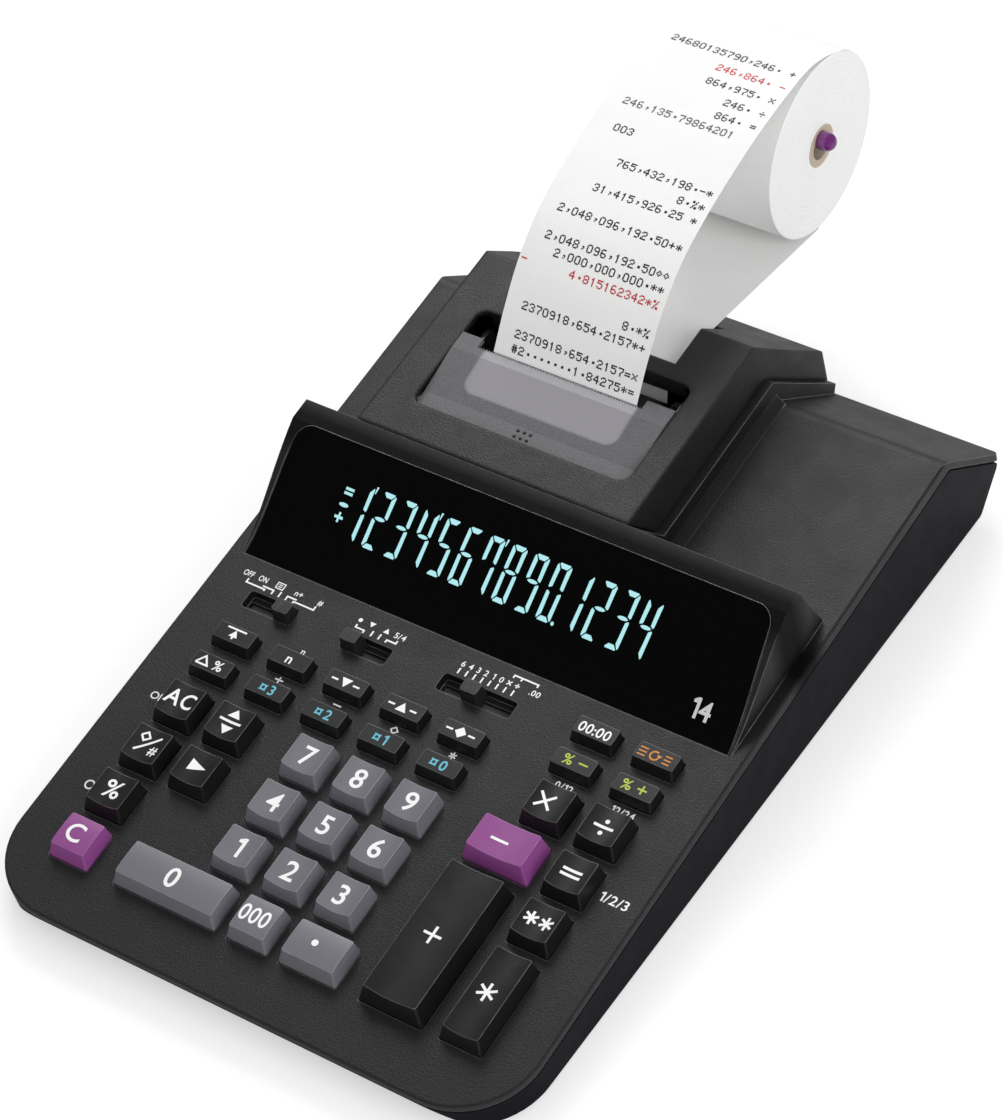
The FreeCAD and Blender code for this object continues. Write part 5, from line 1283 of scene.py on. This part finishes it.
# %% Dot patterns
DOTS = {
    "0": (14, 17, 17, 17, 17, 17, 14), "1": (4, 12, 4, 4, 4, 4, 4), "2": (14, 17, 1, 6, 8, 16, 31),
    "3": (14, 17, 1, 6, 1, 17, 14), "4": (2, 6, 10, 18, 31, 2, 2), "5": (31, 16, 30, 1, 1, 17, 14),
    "6": (14, 16, 16, 30, 17, 17, 14), "7": (31, 1, 1, 2, 4, 4, 4),
    "8": (14, 17, 17, 14, 17, 17, 14), "9": (14, 17, 17, 15, 1, 1, 14), ",": (0, 0, 0, 6, 2, 4, 0),
    ".": (0, 0, 0, 6, 6, 0, 0), "-": (0, 0, 0, 31, 0, 0, 0), "+": (0, 4, 4, 31, 4, 4, 0),
    "=": (0, 0, 31, 0, 31, 0, 0), "x": (0, 17, 10, 4, 10, 17, 0), "/": (0, 4, 0, 31, 0, 4, 0),
    "%": (25, 26, 2, 4, 8, 11, 19), "*": (0, 4, 21, 14, 21, 4, 0),
    "#": (10, 10, 31, 10, 31, 10, 10), "o": (0, 4, 10, 17, 10, 4, 0),
}
TAPE_ROWS = [
    (-3.4, "480625317940.25%*", "black"),
    (3.5, "#2.......1.84275*=", "black"), (8.8, "2370918,654.2157=x", "black"),
    (19.0, "2370918,654.2157*+", "black"), (24.2, "8.*%", "black"),
    (34.3, "-      4.815162342*%", "red"), (39.5, "2,000,000,000.**", "black"),
    (44.5, "2,048,096,192.50oo", "black"), (54.9, "2,048,096,192.50+*", "black"),
    (65.6, "31,415,926.25 *", "black"), (71.2, "8.%*", "black"), (77.0, "765,432,198.-*", "black"),
    (101.0, "246,135.79864201  ", "grey"), (106.8, "864. =", "black"), (113.0, "246. /", "black"),
    (119.7, "864,975. x", "black"), (126.6, "246,864. -", "red"),
    (133.6, "24680135790,246. +", "black"), (89.6, "003              ", "black"),
]
print("Rows on the tape:", len(TAPE_ROWS))

# %% Strike the rows
SIGN_PITCH = 2.78
DOT_STEP = 0.43
DOT_HALF = 0.26
DOT_PLAY = 0.03
DOT_LIFT = STRIP_THICK / 2 + 0.03
LAST_SIGN = 5.5
COLUMNS = 5
MIDDLE_COLUMN = 2
MIDDLE_ROW = 3


def print_row(drawing, far, text, play):
    """Square dots of one row of signs; the last sign stands at the right margin."""
    for i, sign in enumerate(reversed(text)):
        for row, bits in enumerate(DOTS.get(sign, ())):
            for column in range(COLUMNS):
                if not bits >> (COLUMNS - 1 - column) & 1:
                    continue
                x = (LAST_SIGN - i * SIGN_PITCH + (column - MIDDLE_COLUMN) * DOT_STEP
                     + play.uniform(-DOT_PLAY, DOT_PLAY))
                up = far + (MIDDLE_ROW - row) * DOT_STEP + play.uniform(-DOT_PLAY, DOT_PLAY)
                low = on_arch(up - DOT_HALF, DOT_LIFT)
                high = on_arch(up + DOT_HALF, DOT_LIFT)
                corners = [(x - DOT_HALF, low), (x + DOT_HALF, low),
                           (x + DOT_HALF, high), (x - DOT_HALF, high)]
                drawing.faces.new([drawing.verts.new(at_deck(u, p.x, p.y)) for u, p in corners])


def part_under(far):
    """The part of the strip that a row is printed on."""
    if far < 0:
        return "strip_in_printer"
    return "printed_strip" if on_arch(far, 0).x < LIES_UNTIL else "strip_hanging"


wobble = random.Random(7)
drawings = {}
for colour in ("black", "grey", "red"):
    for far, text, row_ink in TAPE_ROWS:
        if row_ink == colour:
            key = (part_under(far), colour)
            if key not in drawings:
                drawings[key] = bmesh.new()
            print_row(drawings[key], far, text, wobble)
prints = {name: [] for name in strips}
for (under, colour), drawing in drawings.items():
    prints[under].append(keep_piece("print_" + colour + "_on_" + under, drawing, INKS[colour],
                                    None))
print("Printed pieces:", sum(len(group) for group in prints.values()))

# %% Bake the strip parts and their print into place
FOLLOWS = {
    "strip_fed": ("housing", "arm", (239.0, 5.0), (268.0, 5.0)),
    "strip_over_case": ("cover", "housing", (224.0, 10.0), (238.5, 10.0)),
    "strip_in_printer": ("housing", "cover", (170.0, 9.5), (170.0, 21.5)),
    "printed_strip": ("cover", "housing", (196.0, 60.0), (234.0, 60.0)),
    "strip_hanging": ("housing", "arm", (238.0, 60.0), (268.0, 60.0)),
}
for name, (first, second, start, end) in FOLLOWS.items():
    for piece in [strips[name]] + prints[name]:
        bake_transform(piece)
print("Blended parts:", len(FOLLOWS))

# %% [markdown]
# ## The wound roll
#
# A roll of paper is not a smooth cylinder: its end faces are the edges of some hundred turns that
# never sit quite flush. The roll is built as rings whose height wanders a little from turn to turn,
# joined by the outer and inner walls.

# %% Build the roll
ROLL_RADIUS = 34.3
CORE_RADIUS = 8.0
TURNS_SHOWN = 44
AROUND = 120
LEAST_INSET = 0.05
INSET_PLAY = 0.10
OUTER_TURN = {"inset": 0.25, "radius": -0.01}
roll = bmesh.new()
turn_play = random.Random(3)
profile = []
for side in (1, -1):
    face = []
    for k in range(TURNS_SHOWN + 1):
        radius = ROLL_RADIUS - (ROLL_RADIUS - CORE_RADIUS) * k / TURNS_SHOWN
        inset = LEAST_INSET + turn_play.uniform(0.0, INSET_PLAY)
        if k == 0:
            radius += OUTER_TURN["radius"]
            inset += OUTER_TURN["inset"]
        face.append((STRIP_MIDDLE + side * (STRIP_HALF - inset), radius))
    profile += reversed(face) if side == 1 else face
rings = [[roll.verts.new(at_deck(x, *on_circle(*ROLL_MIDDLE, radius, k / AROUND)))
          for k in range(AROUND)] for x, radius in profile]
for ring, following in zip(rings, rings[1:] + rings[:1]):
    bridge(roll, ring, following)
bmesh.ops.recalc_face_normals(roll, faces=roll.faces)
wound = keep_piece("wound_roll", roll, roll_paper, "roll")
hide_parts("paper_roll")
print("Roll faces:", len(wound.data.polygons))

# %% [markdown]
# ## Small moulded details
#
# Two rows of small studs on the smoke plate give a fingertip hold. They are tiny domes, each a few
# rings of points, set on the plate's face.

# %% Studs on the smoke plate
STUD_RADIUS = 0.62
STUD_SQUASH = 0.8
STUD_LEVELS = 4
STUD_SIDES = 16
STUD_PLACES = [(x, y) for y in (134.0, 131.4) for x in (-24.1, -21.6, -19.1)]
studs = bmesh.new()
plate_skin = skin_of("cutter_cover")
for x, y in STUD_PLACES:
    foot = surface_at(plate_skin, x, y)
    lower = None
    for level in range(STUD_LEVELS):
        out, up = on_circle(0.0, 0.0, STUD_RADIUS * MM, level / STUD_LEVELS / 4)
        ring = [studs.verts.new(foot + DECK_TURN @ Vector(
            (*on_circle(0.0, 0.0, out, k / STUD_SIDES), up * STUD_SQUASH)))
            for k in range(STUD_SIDES)]
        if lower:
            bridge(studs, lower, ring)
        lower = ring
    studs.faces.new(lower)
stud_piece = keep_piece("plate_studs", studs, FINISHES["knob_black"],
                        nodes["cutter_cover"]["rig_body"])
stud_piece.data.shade_smooth()
print("Studs:", len(STUD_PLACES))

# %% [markdown]
# ## Finish

# %% Finish
print("Script finished")
